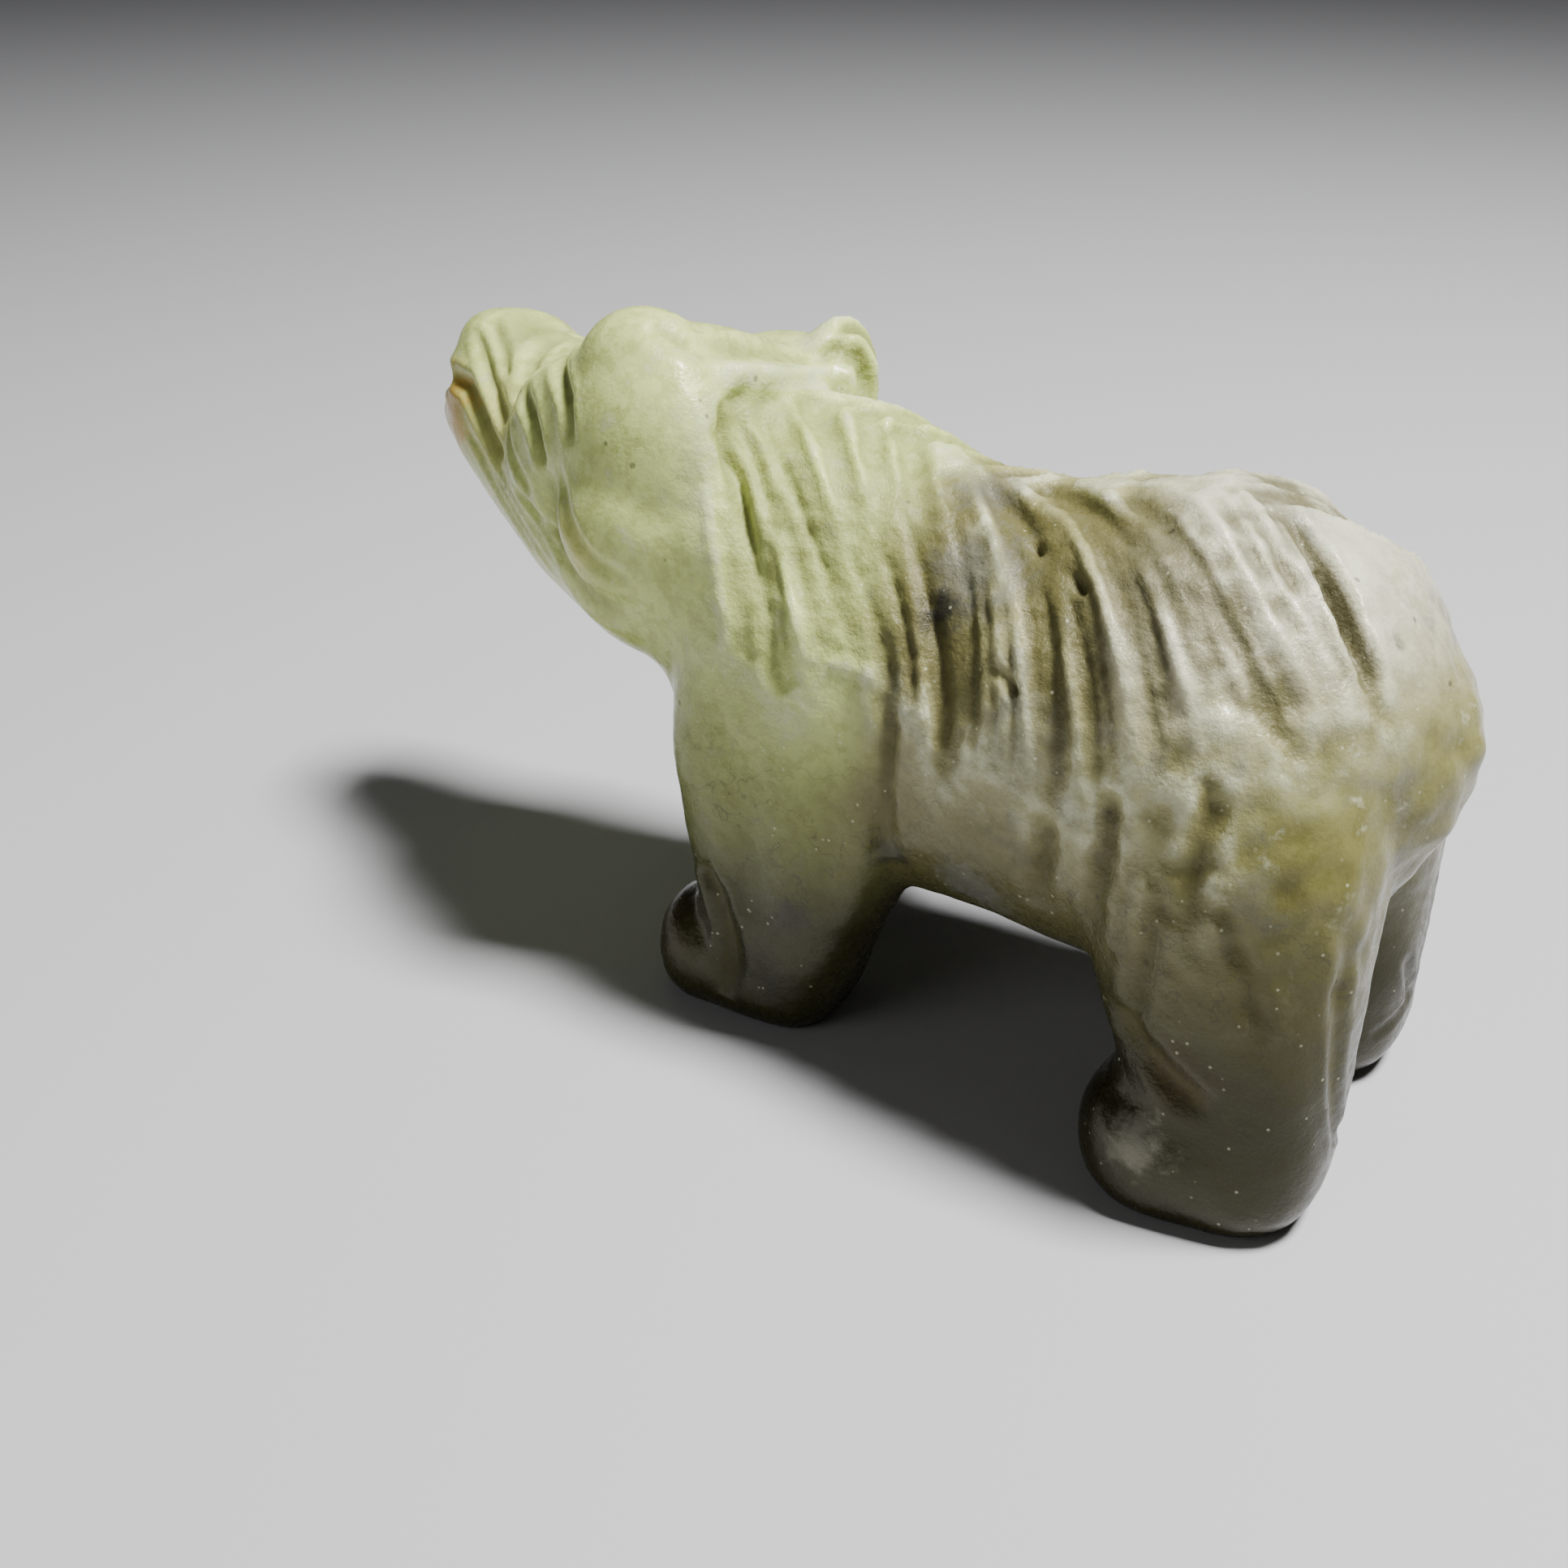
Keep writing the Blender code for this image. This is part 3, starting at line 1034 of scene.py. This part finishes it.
@dataclass(frozen=True)
class Cloud:
    """Cloudy noise from about 0 to 1.

    Attributes:
        scale: how many clouds there are in a share.
        detail: how many finer layers it has.
        rough: how strong those are.
    """

    scale: float
    detail: float
    rough: float = 0.5

    def over(self, paint: Painter, where: Value) -> Value:
        """The noise.

        Args:
            paint: adds the nodes.
            where: the coordinates, in shares.

        Returns:
            The noise at these coordinates.
        """
        return paint.value(paint.node("ShaderNodeTexNoise", None, Vector=where, Scale=self.scale,
                                      Detail=self.detail, Roughness=self.rough))


@dataclass(frozen=True)
class Ramp:
    """A smooth step, from 0 at its low value to 1 at its high one.

    Attributes:
        low: where it starts.
        high: where it ends; if it is less than low, the step goes down.
        sway: how much of the stone's drift shifts it.
    """

    low: float
    high: float
    sway: float = 0.0

    def over(self, value: Value, here: Ground | None = None) -> Value:
        """The step of a value.

        Args:
            value: what is stepped.
            here: what the finish reads, for a ramp that the drift shifts.

        Returns:
            The step, from 0 to 1.
        """
        if self.sway and here is not None:
            value = value + here.drift * self.sway
        return value.step(self.low, self.high)


@dataclass(frozen=True)
class Specks:
    """Small round specks, one in some of the stone's cells.

    Attributes:
        scale: how many cells there are in a share.
        edge: the ramp from a speck's edge to its middle.
        chance: the ramp that picks the cells that have one.
        strength: how strong they are.
    """

    scale: float
    edge: Ramp
    chance: Ramp
    strength: float

    def over(self, here: Ground) -> Value:
        """The specks.

        Args:
            here: what the finish reads.

        Returns:
            How strong a speck is at each place.
        """
        paint = here.paint
        cells = paint.node("ShaderNodeTexVoronoi", {"feature": "F1"}, Vector=here.where,
                           Scale=self.scale)
        lot = paint.value(paint.node("ShaderNodeSeparateColor", None, Color=cells.outputs["Color"]))
        round_edge = self.edge.over(paint.value(cells, "Distance"))
        return round_edge * self.chance.over(lot) * self.strength


@dataclass(frozen=True)
class Wash:
    """A colour laid over the stone where all its ramps let it.

    Attributes:
        colour: the colour.
        strength: how much of it there is at most.
        ramps: where it lies, as a ramp over each reading.
        less: how much of that strength the green head takes away.
        how: the way of mixing.
    """

    colour: Colour
    strength: float
    ramps: tuple[tuple[Reading, Ramp], ...]
    less: float = 0.0
    how: str = "MIX"

    def lay(self, here: Ground, head: Value, under: Value) -> Value:
        """Lays the wash.

        Args:
            here: what the finish reads.
            head: how much of the head's green there is.
            under: the colour below.

        Returns:
            The colour with the wash on it.
        """
        share = self.strength - head * self.less
        for reading, ramp in self.ramps:
            share = share * ramp.over(here.readings[reading], here)
        return here.paint.mix(share, under, self.colour, self.how)


@dataclass(frozen=True)
class Patch:
    """A place where the stone has another colour; a few patches are painted shade.

    Attributes:
        spot: side, fore and up of its middle.
        radius: how far it reaches, in shares.
        strength: how much of its colour it has in the middle, from 0 to 1.
        colour: its colour.
    """

    spot: Spot
    radius: float
    strength: float
    colour: Colour

    FRAY = 1.5
    CORE = 0.2

    def share(self, here: Ground) -> Value:
        """How much of the patch there is at each place.

        Args:
            here: what the finish reads.

        Returns:
            The share, from 0 to its strength.
        """
        side, fore, up = self.spot
        paint = here.paint
        gap = paint.value(paint.node("ShaderNodeVectorMath", {"operation": "DISTANCE"},
                                     i0=here.where, i1=(side, MIDDLE_FORE - fore, up)), "Value")
        fray = (here.readings[Reading.FINE] - NOISE_MIDDLE) * self.radius * self.FRAY
        return (gap + fray).step(self.radius, self.radius * self.CORE) * self.strength


CELADON: Colour = (0.60, 0.68, 0.24, 1.0)
MOSS: Colour = (0.42, 0.47, 0.15, 1.0)
# Pale frost colour, also used for painted highlight on the ridges and for painted glints.
FROST_AND_HIGHLIGHT: Colour = (0.84, 0.86, 0.62, 1.0)
BEIGE: Colour = (0.36, 0.34, 0.16, 1.0)
SLATE: Colour = (0.15, 0.155, 0.15, 1.0)
OLIVE: Colour = (0.17, 0.16, 0.038, 1.0)
# Dark olive; in the low wash it is partly painted shade.
DUSK: Colour = (0.066, 0.060, 0.015, 1.0)
# Darkest low colour: partly the stone's own tone, partly painted shade.
LOW_SHADE_UMBER: Colour = (0.014, 0.0125, 0.003, 1.0)
BROWN: Colour = (0.045, 0.025, 0.007, 1.0)
AMBER: Colour = (0.55, 0.30, 0.03, 1.0)
HONEY: Colour = (0.62, 0.60, 0.20, 1.0)
SOOT: Colour = (0.012, 0.012, 0.012, 1.0)
CHALK: Colour = (0.70, 0.67, 0.54, 1.0)
# Painted shade in the cuts.
CUT_SHADE: Colour = (0.070, 0.062, 0.014, 1.0)
SHADE: Colour = (0.50, 0.48, 0.28, 1.0)


@dataclass(frozen=True)
class Labradorite:
    """The stone: pale green at the head, grey and beige behind, darker low down, partly by painted
    shade.

    Attributes:
        name: the material's name.
        drift: the noise that the stone's borders wander by.
        drift_width: how far they wander, in shares.
        clouds: the other noises that the washes read.
        head: where the green of the head comes in.
        washes: the colours over the ground colour, in order.
        ridge: how high out of the cuts the fur's pale ridges begin; their paleness is partly frosted
            stone, partly painted highlight.
        ridge_up: how high up the bear they are pale; keeping them pale only up high is part of the
            painted highlight.
        ridge_fine: how the fine noise breaks them up.
        ridge_least: how pale a ridge is at least.
        ridge_more: how much paler the fine noise makes it.
        patches: the places with a colour of their own; some of them are painted shade.
        glints: painted glints, tiny pale specks that stand in for the sparkle of the polish.
        dots: the dark flecks.
        vein: the noise whose middle line is a crack.
        vein_line: which value of it that line has.
        vein_width: how wide the crack is.
        vein_up: how high the cracks reach.
        vein_strength: how dark they are.
        smooth: the roughness where the polish is best.
        dull_cuts: how much rougher the cuts are, and the ramp that they come in by.
        dull_grain: how much rougher the grain is, its ramp and its noise.
        coat: the strength of the wet-looking coat, and the noise that it comes and goes by.
        coat_ramps: the ramps of that noise, of the cuts, and of the height.
        grain: the noise of the bump, its crystals' scale, and their share in it.
        grain_bare: how strong the bump is away from the fur.
        grain_height: the bump's strength, and its height in shares.
        coat_roughness: the coat's own roughness.
        bending: how strongly the stone bends light.
        shine: the strength of its reflections.
        shine_tint: their colour.
        glow: how much light goes into the stone.
        glow_reach: how far that light goes, in shares.
        glow_colour: how far each colour of it goes.
    """

    name: str = "carved labradorite"
    drift: Cloud = Cloud(0.16, 3.0)
    drift_width: float = 9.0
    clouds: tuple[tuple[Reading, Cloud], ...] = (
        (Reading.CLOUD, Cloud(0.32, 4.0, 0.6)),
        (Reading.FINE, Cloud(1.4, 4.0, 0.65)),
        (Reading.WISPS, Cloud(0.7, 4.0, 0.7)),
    )
    head: Ramp = Ramp(18.5, 22.0, 0.35)
    washes: tuple[Wash, ...] = (
        # The top of the rump is painted paler: partly the stone's pale tone, partly painted highlight.
        Wash(CHALK, 0.70, ((Reading.UP, Ramp(20.0, 25.0, 0.3)), (Reading.FORE, Ramp(14.0, 8.0, 0.4)))),
        Wash(OLIVE, 0.75, ((Reading.FORE, Ramp(9.5, 1.5, 0.5)), (Reading.UP, Ramp(24.5, 18.0, 0.4)))),
        Wash(SLATE, 0.45, ((Reading.CLOUD, Ramp(0.53, 0.66)),), less=0.45),
        Wash(SHADE, 0.40, ((Reading.FINE, Ramp(0.42, 0.62)),), how="MULTIPLY"),
        Wash(FROST_AND_HIGHLIGHT, 0.30, ((Reading.WISPS, Ramp(0.56, 0.70)),)),
        # Darker towards the bottom: partly the stone's darker tone, partly painted shade under the
        # body.
        Wash(DUSK, 0.85, ((Reading.UP, Ramp(20.0, 11.5, 0.35)),), less=0.15),
        Wash(LOW_SHADE_UMBER, 0.95, ((Reading.UP, Ramp(13.5, 6.0, 0.3)),)),
        # Painted shade: the cuts are painted darker the deeper they are.
        Wash(CUT_SHADE, 0.80, ((Reading.RELIEF, Ramp(0.05, 0.34)),), less=0.40),
    )
    ridge: Ramp = Ramp(0.10, -0.06)
    ridge_up: Ramp = Ramp(12.0, 19.0, 0.2)
    ridge_fine: Ramp = Ramp(0.35, 0.60)
    ridge_least: float = 0.20
    ridge_more: float = 0.40
    patches: tuple[Patch, ...] = (
        Patch((5.0, 17.0, 24.4), 2.8, 0.50, SLATE),
        Patch((1.0, 18.6, 26.8), 2.6, 0.45, SLATE),
        Patch((7.0, 15.4, 11.2), 2.4, 0.45, SLATE),
        Patch((7.6, 12.8, 19.0), 2.6, 0.35, SLATE),
        Patch((-5.0, 15.0, 23.0), 3.0, 0.45, SLATE),
        Patch((-7.6, 9.0, 15.0), 2.6, 0.40, SLATE),
        Patch((6.1, 18.0, 22.7), 1.3, 0.90, SOOT),
        Patch((8.3, 23.5, 7.4), 1.3, 0.80, SOOT),
        Patch((8.0, 25.2, 3.2), 2.2, 0.55, SOOT),
        Patch((7.4, 19.2, 11.6), 1.2, 0.70, SOOT),
        Patch((2.5, 1.2, 24.3), 0.6, 0.80, SOOT),
        Patch((-5.8, 21.0, 22.0), 1.5, 0.60, SOOT),
        Patch((6.4, 30.6, 3.4), 2.8, 0.60, BROWN),
        # Painted shade in the crease above the left hind paw.
        Patch((9.5, 5.2, 7.2), 2.2, 0.55, BROWN),
        Patch((9.8, 6.2, 3.9), 1.8, 0.24, CHALK),
        Patch((-5.0, 24.0, 19.0), 3.0, 0.35, MOSS),
        Patch((7.4, 34.6, 22.2), 2.6, 0.60, HONEY),
        Patch((7.6, 25.0, 18.6), 2.6, 0.45, MOSS),
        Patch((3.1, 42.9, 25.0), 3.4, 0.50, HONEY),
        # Under the jaw and on the throat: partly the stone's olive, partly painted shade under the
        # head.
        Patch((2.4, 40.4, 20.6), 2.6, 0.45, OLIVE),
        Patch((3.4, 36.4, 18.0), 2.6, 0.45, OLIVE),
        Patch((-1.0, 43.8, 28.8), 2.4, 0.45, DUSK),
        Patch((1.6, 47.4, 24.4), 3.2, 0.85, AMBER),
    )
    # Painted glints: tiny pale specks for the sparkle of the polish.
    glints: Specks = Specks(2.3, Ramp(0.20, 0.10), Ramp(0.86, 0.90), 0.35)
    dots: Specks = Specks(0.9, Ramp(0.15, 0.08), Ramp(0.88, 0.90), 0.55)
    vein: Cloud = Cloud(0.33, 3.0, 0.6)
    vein_line: float = 0.46
    vein_width: Ramp = Ramp(0.010, 0.002)
    vein_up: Ramp = Ramp(19.0, 12.0)
    vein_strength: float = 0.35
    smooth: float = 0.19
    dull_cuts: tuple[float, Ramp] = (0.22, Ramp(0.0, 0.3))
    dull_grain: tuple[float, Ramp, Cloud] = (0.15, Ramp(0.35, 0.7), Cloud(2.2, 3.0, 0.6))
    coat: tuple[float, Cloud] = (0.22, Cloud(0.9, 2.0))
    coat_ramps: tuple[Ramp, Ramp, Ramp] = (Ramp(0.35, 0.65), Ramp(0.2, 0.0), Ramp(10.0, 20.0))
    grain: tuple[Cloud, float, float] = (Cloud(5.0, 3.0, 0.65), 3.4, 0.25)
    grain_bare: float = 0.4
    grain_height: tuple[float, float] = (0.75, 0.08)
    coat_roughness: float = 0.08
    bending: float = 1.5
    shine: float = 0.38
    shine_tint: Colour = (1.0, 0.93, 0.70, 1.0)
    glow: float = 0.20
    glow_reach: float = 0.7
    glow_colour: Spot = (1.0, 0.95, 0.5)

    def material(self, scale: Scale) -> bpy.types.Material:
        """Makes the material.

        Args:
            scale: the size of a share.

        Returns:
            The stone.
        """
        stone = bpy.data.materials.new(self.name)
        stone.use_nodes = True
        stone.node_tree.nodes.clear()
        here = self.survey(Painter(stone.node_tree), scale)
        shader = here.paint.node(
            "ShaderNodeBsdfPrincipled", None,
            Base_Color=self.colour(here), Roughness=self.roughness(here),
            Coat_Weight=self.gloss(here), Normal=self.bump(here, scale),
            Coat_Roughness=self.coat_roughness, IOR=self.bending, Specular_IOR_Level=self.shine,
            Specular_Tint=self.shine_tint, Subsurface_Weight=self.glow,
            Subsurface_Radius=self.glow_colour, Subsurface_Scale=self.glow_reach * scale.share)
        here.paint.node("ShaderNodeOutputMaterial", None, Surface=shader.outputs[0])
        return stone

    def survey(self, paint: Painter, scale: Scale) -> Ground:
        """Reads the stone's places.

        Args:
            paint: adds the nodes.
            scale: the size of a share.

        Returns:
            What the finish reads.
        """
        unit = 1.0 / scale.share
        coords = paint.node("ShaderNodeTexCoord")
        where = paint.value(paint.node("ShaderNodeMapping", {"vector_type": "POINT"},
                                       Vector=coords.outputs["Object"], Scale=(unit, unit, unit)))
        parts = paint.node("ShaderNodeSeparateXYZ", None, Vector=where)
        readings = {Reading.FORE: MIDDLE_FORE - paint.value(parts, "Y"),
                    Reading.UP: paint.value(parts, "Z")}
        for kept in (Reading.RELIEF, Reading.FUR):
            layer = paint.node("ShaderNodeAttribute", {"attribute_name": kept.value})
            readings[kept] = paint.value(layer, "Fac")
        for reading, cloud in self.clouds:
            readings[reading] = cloud.over(paint, where)
        drift = (self.drift.over(paint, where) - NOISE_MIDDLE) * self.drift_width
        return Ground(paint, where, drift, readings)

    def colour(self, here: Ground) -> Value:
        """The stone's colour, with painted shade in the cuts and low down, and painted highlight on
        the ridges and glints.

        Args:
            here: what the finish reads.

        Returns:
            The colour.
        """
        paint, readings = here.paint, here.readings
        head = self.head.over(readings[Reading.FORE], here)
        colour = paint.mix(head, BEIGE, CELADON)
        for wash in self.washes:
            colour = wash.lay(here, head, colour)
        # The fur's ridges are painted pale: partly a frosted finish, partly painted highlight.
        ridge = self.ridge.over(readings[Reading.RELIEF]) * readings[Reading.FUR]
        ridge = ridge * self.ridge_up.over(readings[Reading.UP], here)
        paleness = self.ridge_fine.over(readings[Reading.FINE]) * self.ridge_more + self.ridge_least
        colour = paint.mix(ridge * paleness, colour, FROST_AND_HIGHLIGHT)
        for patch in self.patches:
            colour = paint.mix(patch.share(here), colour, patch.colour)
        # Painted glints.
        colour = paint.mix(self.glints.over(here), colour, FROST_AND_HIGHLIGHT)
        return paint.mix(self.flaws(here), colour, SOOT)

    def flaws(self, here: Ground) -> Value:
        """The dark flecks and hairline cracks in the stone.

        Args:
            here: what the finish reads.

        Returns:
            Their strength.
        """
        line = (self.vein.over(here.paint, here.where) - self.vein_line).size()
        crack = self.vein_width.over(line) * self.vein_up.over(here.readings[Reading.UP])
        return self.dots.over(here).most(crack * self.vein_strength)

    def roughness(self, here: Ground) -> Value:
        """The stone's roughness: polished outside, duller in the cuts.

        Args:
            here: what the finish reads.

        Returns:
            The roughness.
        """
        cuts, cut_ramp = self.dull_cuts
        grain, grain_ramp, cloud = self.dull_grain
        noisy = grain_ramp.over(cloud.over(here.paint, here.where))
        return self.smooth + cut_ramp.over(here.readings[Reading.RELIEF]) * cuts + noisy * grain

    def gloss(self, here: Ground) -> Value:
        """The wet-looking coat, weaker in the cuts and low down.

        Args:
            here: what the finish reads.

        Returns:
            Its strength.
        """
        strength, cloud = self.coat
        patchy, shallow, high = self.coat_ramps
        coat = patchy.over(cloud.over(here.paint, here.where))
        coat = coat * shallow.over(here.readings[Reading.RELIEF])
        return coat * high.over(here.readings[Reading.UP]) * strength

    def bump(self, here: Ground, scale: Scale) -> bpy.types.NodeSocket:
        """The grain that makes the polish sparkle.

        Args:
            here: what the finish reads.
            scale: the size of a share.

        Returns:
            The bumped normal.
        """
        cloud, cells, share = self.grain
        strength, height = self.grain_height
        crystals = here.paint.value(here.paint.node("ShaderNodeTexVoronoi", {"feature": "F1"},
                                                    Vector=here.where, Scale=cells), "Distance")
        furred = here.readings[Reading.FUR] * (1 - self.grain_bare) + self.grain_bare
        rise = (cloud.over(here.paint, here.where) + crystals * share) * furred
        return here.paint.node("ShaderNodeBump", None, Height=rise, Strength=strength,
                               Distance=height * scale.share).outputs[0]


# ---- the piece ---------------------------------------------------------------------------------


@dataclass
class BearCarving:
    """The whole carving, from its masses to its finish.

    Attributes:
        trunk: body, neck and tail.
        legs: the four legs.
        head: the head.
        fur: the fur grooves.
        face: the cuts of the head.
        creases: the creases of the legs.
        handwork: the unevenness of the skin.
        stone: the finish.
        grain: the size of the skin's faces, in shares.
        melt_rounds: how long the masses melt into one at that grain.
        melt_strength: how strongly each round smooths.
        ball_detail: the subdivisions of a mass.
        link_steps: the masses between two rows of a chain.
    """

    trunk: Trunk = Trunk()
    legs: Legs = Legs()
    head: Head = Head()
    fur: Fur = Fur()
    face: Face = Face()
    creases: Creases = Creases()
    handwork: Handwork = Handwork()
    stone: Labradorite = Labradorite()
    grain: float = 0.24
    melt_rounds: int = 42
    melt_strength: float = 0.5
    ball_detail: int = 4
    link_steps: int = 5

    def rough_block(self, scale: Scale) -> bpy.types.Mesh:
        """The masses before they are worked into one.

        Args:
            scale: the size of a share.

        Returns:
            The mesh of the crossing masses.
        """
        shape = bmesh.new()
        for chain in (*self.trunk.chains(), *self.legs.chains()):
            for mass in chain.linked(self.link_steps):
                mass.add_to(shape, Matrix.Identity(4), scale, self.ball_detail)
        for mass in self.head.masses(self.link_steps):
            mass.add_to(shape, self.head.frame(), scale, self.ball_detail)
        mesh = bpy.data.meshes.new("rough")
        shape.to_mesh(mesh)
        shape.free()
        return mesh

    def melt_together(self, piece: bpy.types.Object, scale: Scale) -> None:
        """Turns the crossing masses into one skin with soft hollows between them.

        Args:
            piece: the piece whose mesh holds the masses.
            scale: the size of a share.
        """
        skin = piece.modifiers.new("skin", "REMESH")
        skin.mode = "VOXEL"
        skin.voxel_size = self.grain * scale.share
        soften = piece.modifiers.new("soften", "SMOOTH")
        soften.factor = self.melt_strength
        soften.iterations = self.melt_rounds
        bpy.context.view_layer.update()
        seen = piece.evaluated_get(bpy.context.evaluated_depsgraph_get())
        mesh = bpy.data.meshes.new_from_object(seen)
        piece.modifiers.clear()
        piece.data = mesh

    def level_soles(self, piece: bpy.types.Object) -> None:
        """Grinds the feet off level on the ground.

        Args:
            piece: the carved piece.
        """
        shape = bmesh.new()
        shape.from_mesh(piece.data)
        everything = shape.verts[:] + shape.edges[:] + shape.faces[:]
        bmesh.ops.bisect_plane(shape, geom=everything, plane_co=(0, 0, 0), plane_no=(0, 0, -1),
                               clear_outer=True)
        rims = [edge for edge in shape.edges if edge.is_boundary]
        bmesh.ops.triangle_fill(shape, edges=rims, use_beauty=True, use_dissolve=False)
        bmesh.ops.recalc_face_normals(shape, faces=shape.faces[:])
        shape.to_mesh(piece.data)
        shape.free()

    def fit_inside(self, piece: bpy.types.Object) -> None:
        """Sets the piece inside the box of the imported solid, on the same ground.

        Args:
            piece: the carved piece.
        """
        low, high = (np.array(corner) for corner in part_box(NODE))
        points = np.empty(len(piece.data.vertices) * 3)
        piece.data.vertices.foreach_get("co", points)
        points = points.reshape(-1, 3)
        least, most = points.min(axis=0), points.max(axis=0)
        size = np.minimum(1.0, (high - low) / (most - least))
        middle, target = (least + most) / 2, (low + high) / 2
        middle[2], target[2] = 0.0, 0.0
        points = (points - middle) * size + target
        piece.data.vertices.foreach_set("co", points.ravel())
        piece.data.update()

    def build(self) -> bpy.types.Object:
        """Makes the carving.

        Returns:
            The finished piece.
        """
        low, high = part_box(NODE)
        scale = Scale((high.y - low.y) / SHARES_IN_LENGTH)
        piece = bpy.data.objects.new("bear_carving", self.rough_block(scale))
        bpy.context.scene.collection.objects.link(piece)
        self.melt_together(piece, scale)
        skin = Skin(piece.data, scale)
        self.fur.carve(skin)
        self.face.carve(skin, self.head)
        self.creases.carve(skin, self.legs)
        self.handwork.carve(skin)
        skin.finish()
        self.level_soles(piece)
        self.fit_inside(piece)
        piece.data.shade_smooth()
        piece.data.materials.append(self.stone.material(scale))
        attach(piece, BODY)
        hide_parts(NODE)
        triangles = sum(len(face.vertices) - 2 for face in piece.data.polygons)
        log.info("%s: %d triangles", piece.name, triangles)
        return piece


# ---- the studio --------------------------------------------------------------------------------


@dataclass(frozen=True)
class Lamp:
    """A soft square lamp that faces the bear.

    Attributes:
        name: what it is for.
        spot: where it hangs, in metres.
        size: its width, in metres.
        power: its power, in watts.
    """

    name: str
    spot: Spot
    size: float
    power: float

    def hang(self, target: Vector) -> None:
        """Hangs the lamp.

        Args:
            target: the point that it faces.
        """
        data = bpy.data.lights.new(self.name, "AREA")
        data.size = self.size
        data.energy = self.power
        lamp = bpy.data.objects.new(self.name, data)
        lamp.location = self.spot
        lamp.rotation_euler = (target - lamp.location).to_track_quat("-Z", "Y").to_euler()
        bpy.context.scene.collection.objects.link(lamp)


@dataclass(frozen=True)
class Studio:
    """A pale floor, soft lamps and the camera.

    Attributes:
        lamps: the lamps.
        target: the middle of the bear.
        floor_size: the floor's width, in metres.
        floor_colour: its colour.
        floor_roughness: its roughness.
        sky: the colour of the room.
        sky_strength: how bright the room is.
        camera_spot: where the camera stands, in metres.
        look: the level direction that it faces.
        elevation: how far it looks down, in degrees.
        focal_pixels: the focal length, in pixels of the whole picture.
        picture_width: the width of that picture, in pixels.
        sensor: the width of the camera's sensor, in millimetres.
        nearest: the nearest thing that it sees, in metres.
    """

    lamps: tuple[Lamp, ...] = (
        Lamp("key", (-0.03, 0.10, 0.30), 0.06, 2.6),
        Lamp("fill", (0.30, -0.12, 0.24), 0.20, 0.12),
    )
    target: Spot = (0.0, 0.0, 0.016)
    floor_size: float = 3.0
    floor_colour: Colour = (0.50, 0.50, 0.51, 1.0)
    floor_roughness: float = 0.7
    sky: Colour = (0.80, 0.82, 0.85, 1.0)
    sky_strength: float = 0.05
    camera_spot: Spot = (0.0607, 0.0335, 0.050)
    look: tuple[float, float] = (-0.846, -0.538)
    elevation: float = 30.0
    focal_pixels: float = 2090.0
    picture_width: float = 1932.0
    sensor: float = 36.0
    nearest: float = 0.001

    def build(self) -> None:
        """Makes the floor, the lamps and the camera."""
        self.lay_floor()
        for lamp in self.lamps:
            lamp.hang(Vector(self.target))
        world = bpy.data.worlds.new("room")
        world.use_nodes = True
        background = world.node_tree.nodes["Background"]
        background.inputs["Color"].default_value = self.sky
        background.inputs["Strength"].default_value = self.sky_strength
        bpy.context.scene.world = world
        self.set_camera()

    def lay_floor(self) -> None:
        """Lays the pale floor under the bear."""
        shape = bmesh.new()
        bmesh.ops.create_grid(shape, x_segments=1, y_segments=1, size=self.floor_size / 2)
        mesh = bpy.data.meshes.new("floor")
        shape.to_mesh(mesh)
        shape.free()
        floor = bpy.data.objects.new("floor", mesh)
        bpy.context.scene.collection.objects.link(floor)
        paint = bpy.data.materials.new("floor")
        paint.use_nodes = True
        shader = paint.node_tree.nodes["Principled BSDF"]
        shader.inputs["Base Color"].default_value = self.floor_colour
        shader.inputs["Roughness"].default_value = self.floor_roughness
        mesh.materials.append(paint)

    def set_camera(self) -> None:
        """Stands the camera at the bear's left and a little behind it."""
        data = bpy.data.cameras.new("camera")
        data.sensor_width = self.sensor
        data.lens = data.sensor_width * self.focal_pixels / self.picture_width
        data.clip_start = self.nearest
        camera = bpy.data.objects.new("camera", data)
        tilt = math.radians(self.elevation)
        ahead = Vector((self.look[0], self.look[1], 0)).normalized() * math.cos(tilt)
        ahead.z = -math.sin(tilt)
        camera.location = self.camera_spot
        camera.rotation_euler = ahead.to_track_quat("-Z", "Y").to_euler()
        bpy.context.scene.collection.objects.link(camera)
        bpy.context.scene.camera = camera


def main() -> None:
    """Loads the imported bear, carves the visual one in its place, and sets up the studio."""
    logging.basicConfig(level=logging.INFO, format="%(message)s")
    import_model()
    carving = BearCarving()
    carving.build()
    Studio().build()
    bpy.context.view_layer.update()


if __name__ == "__main__":
    main()
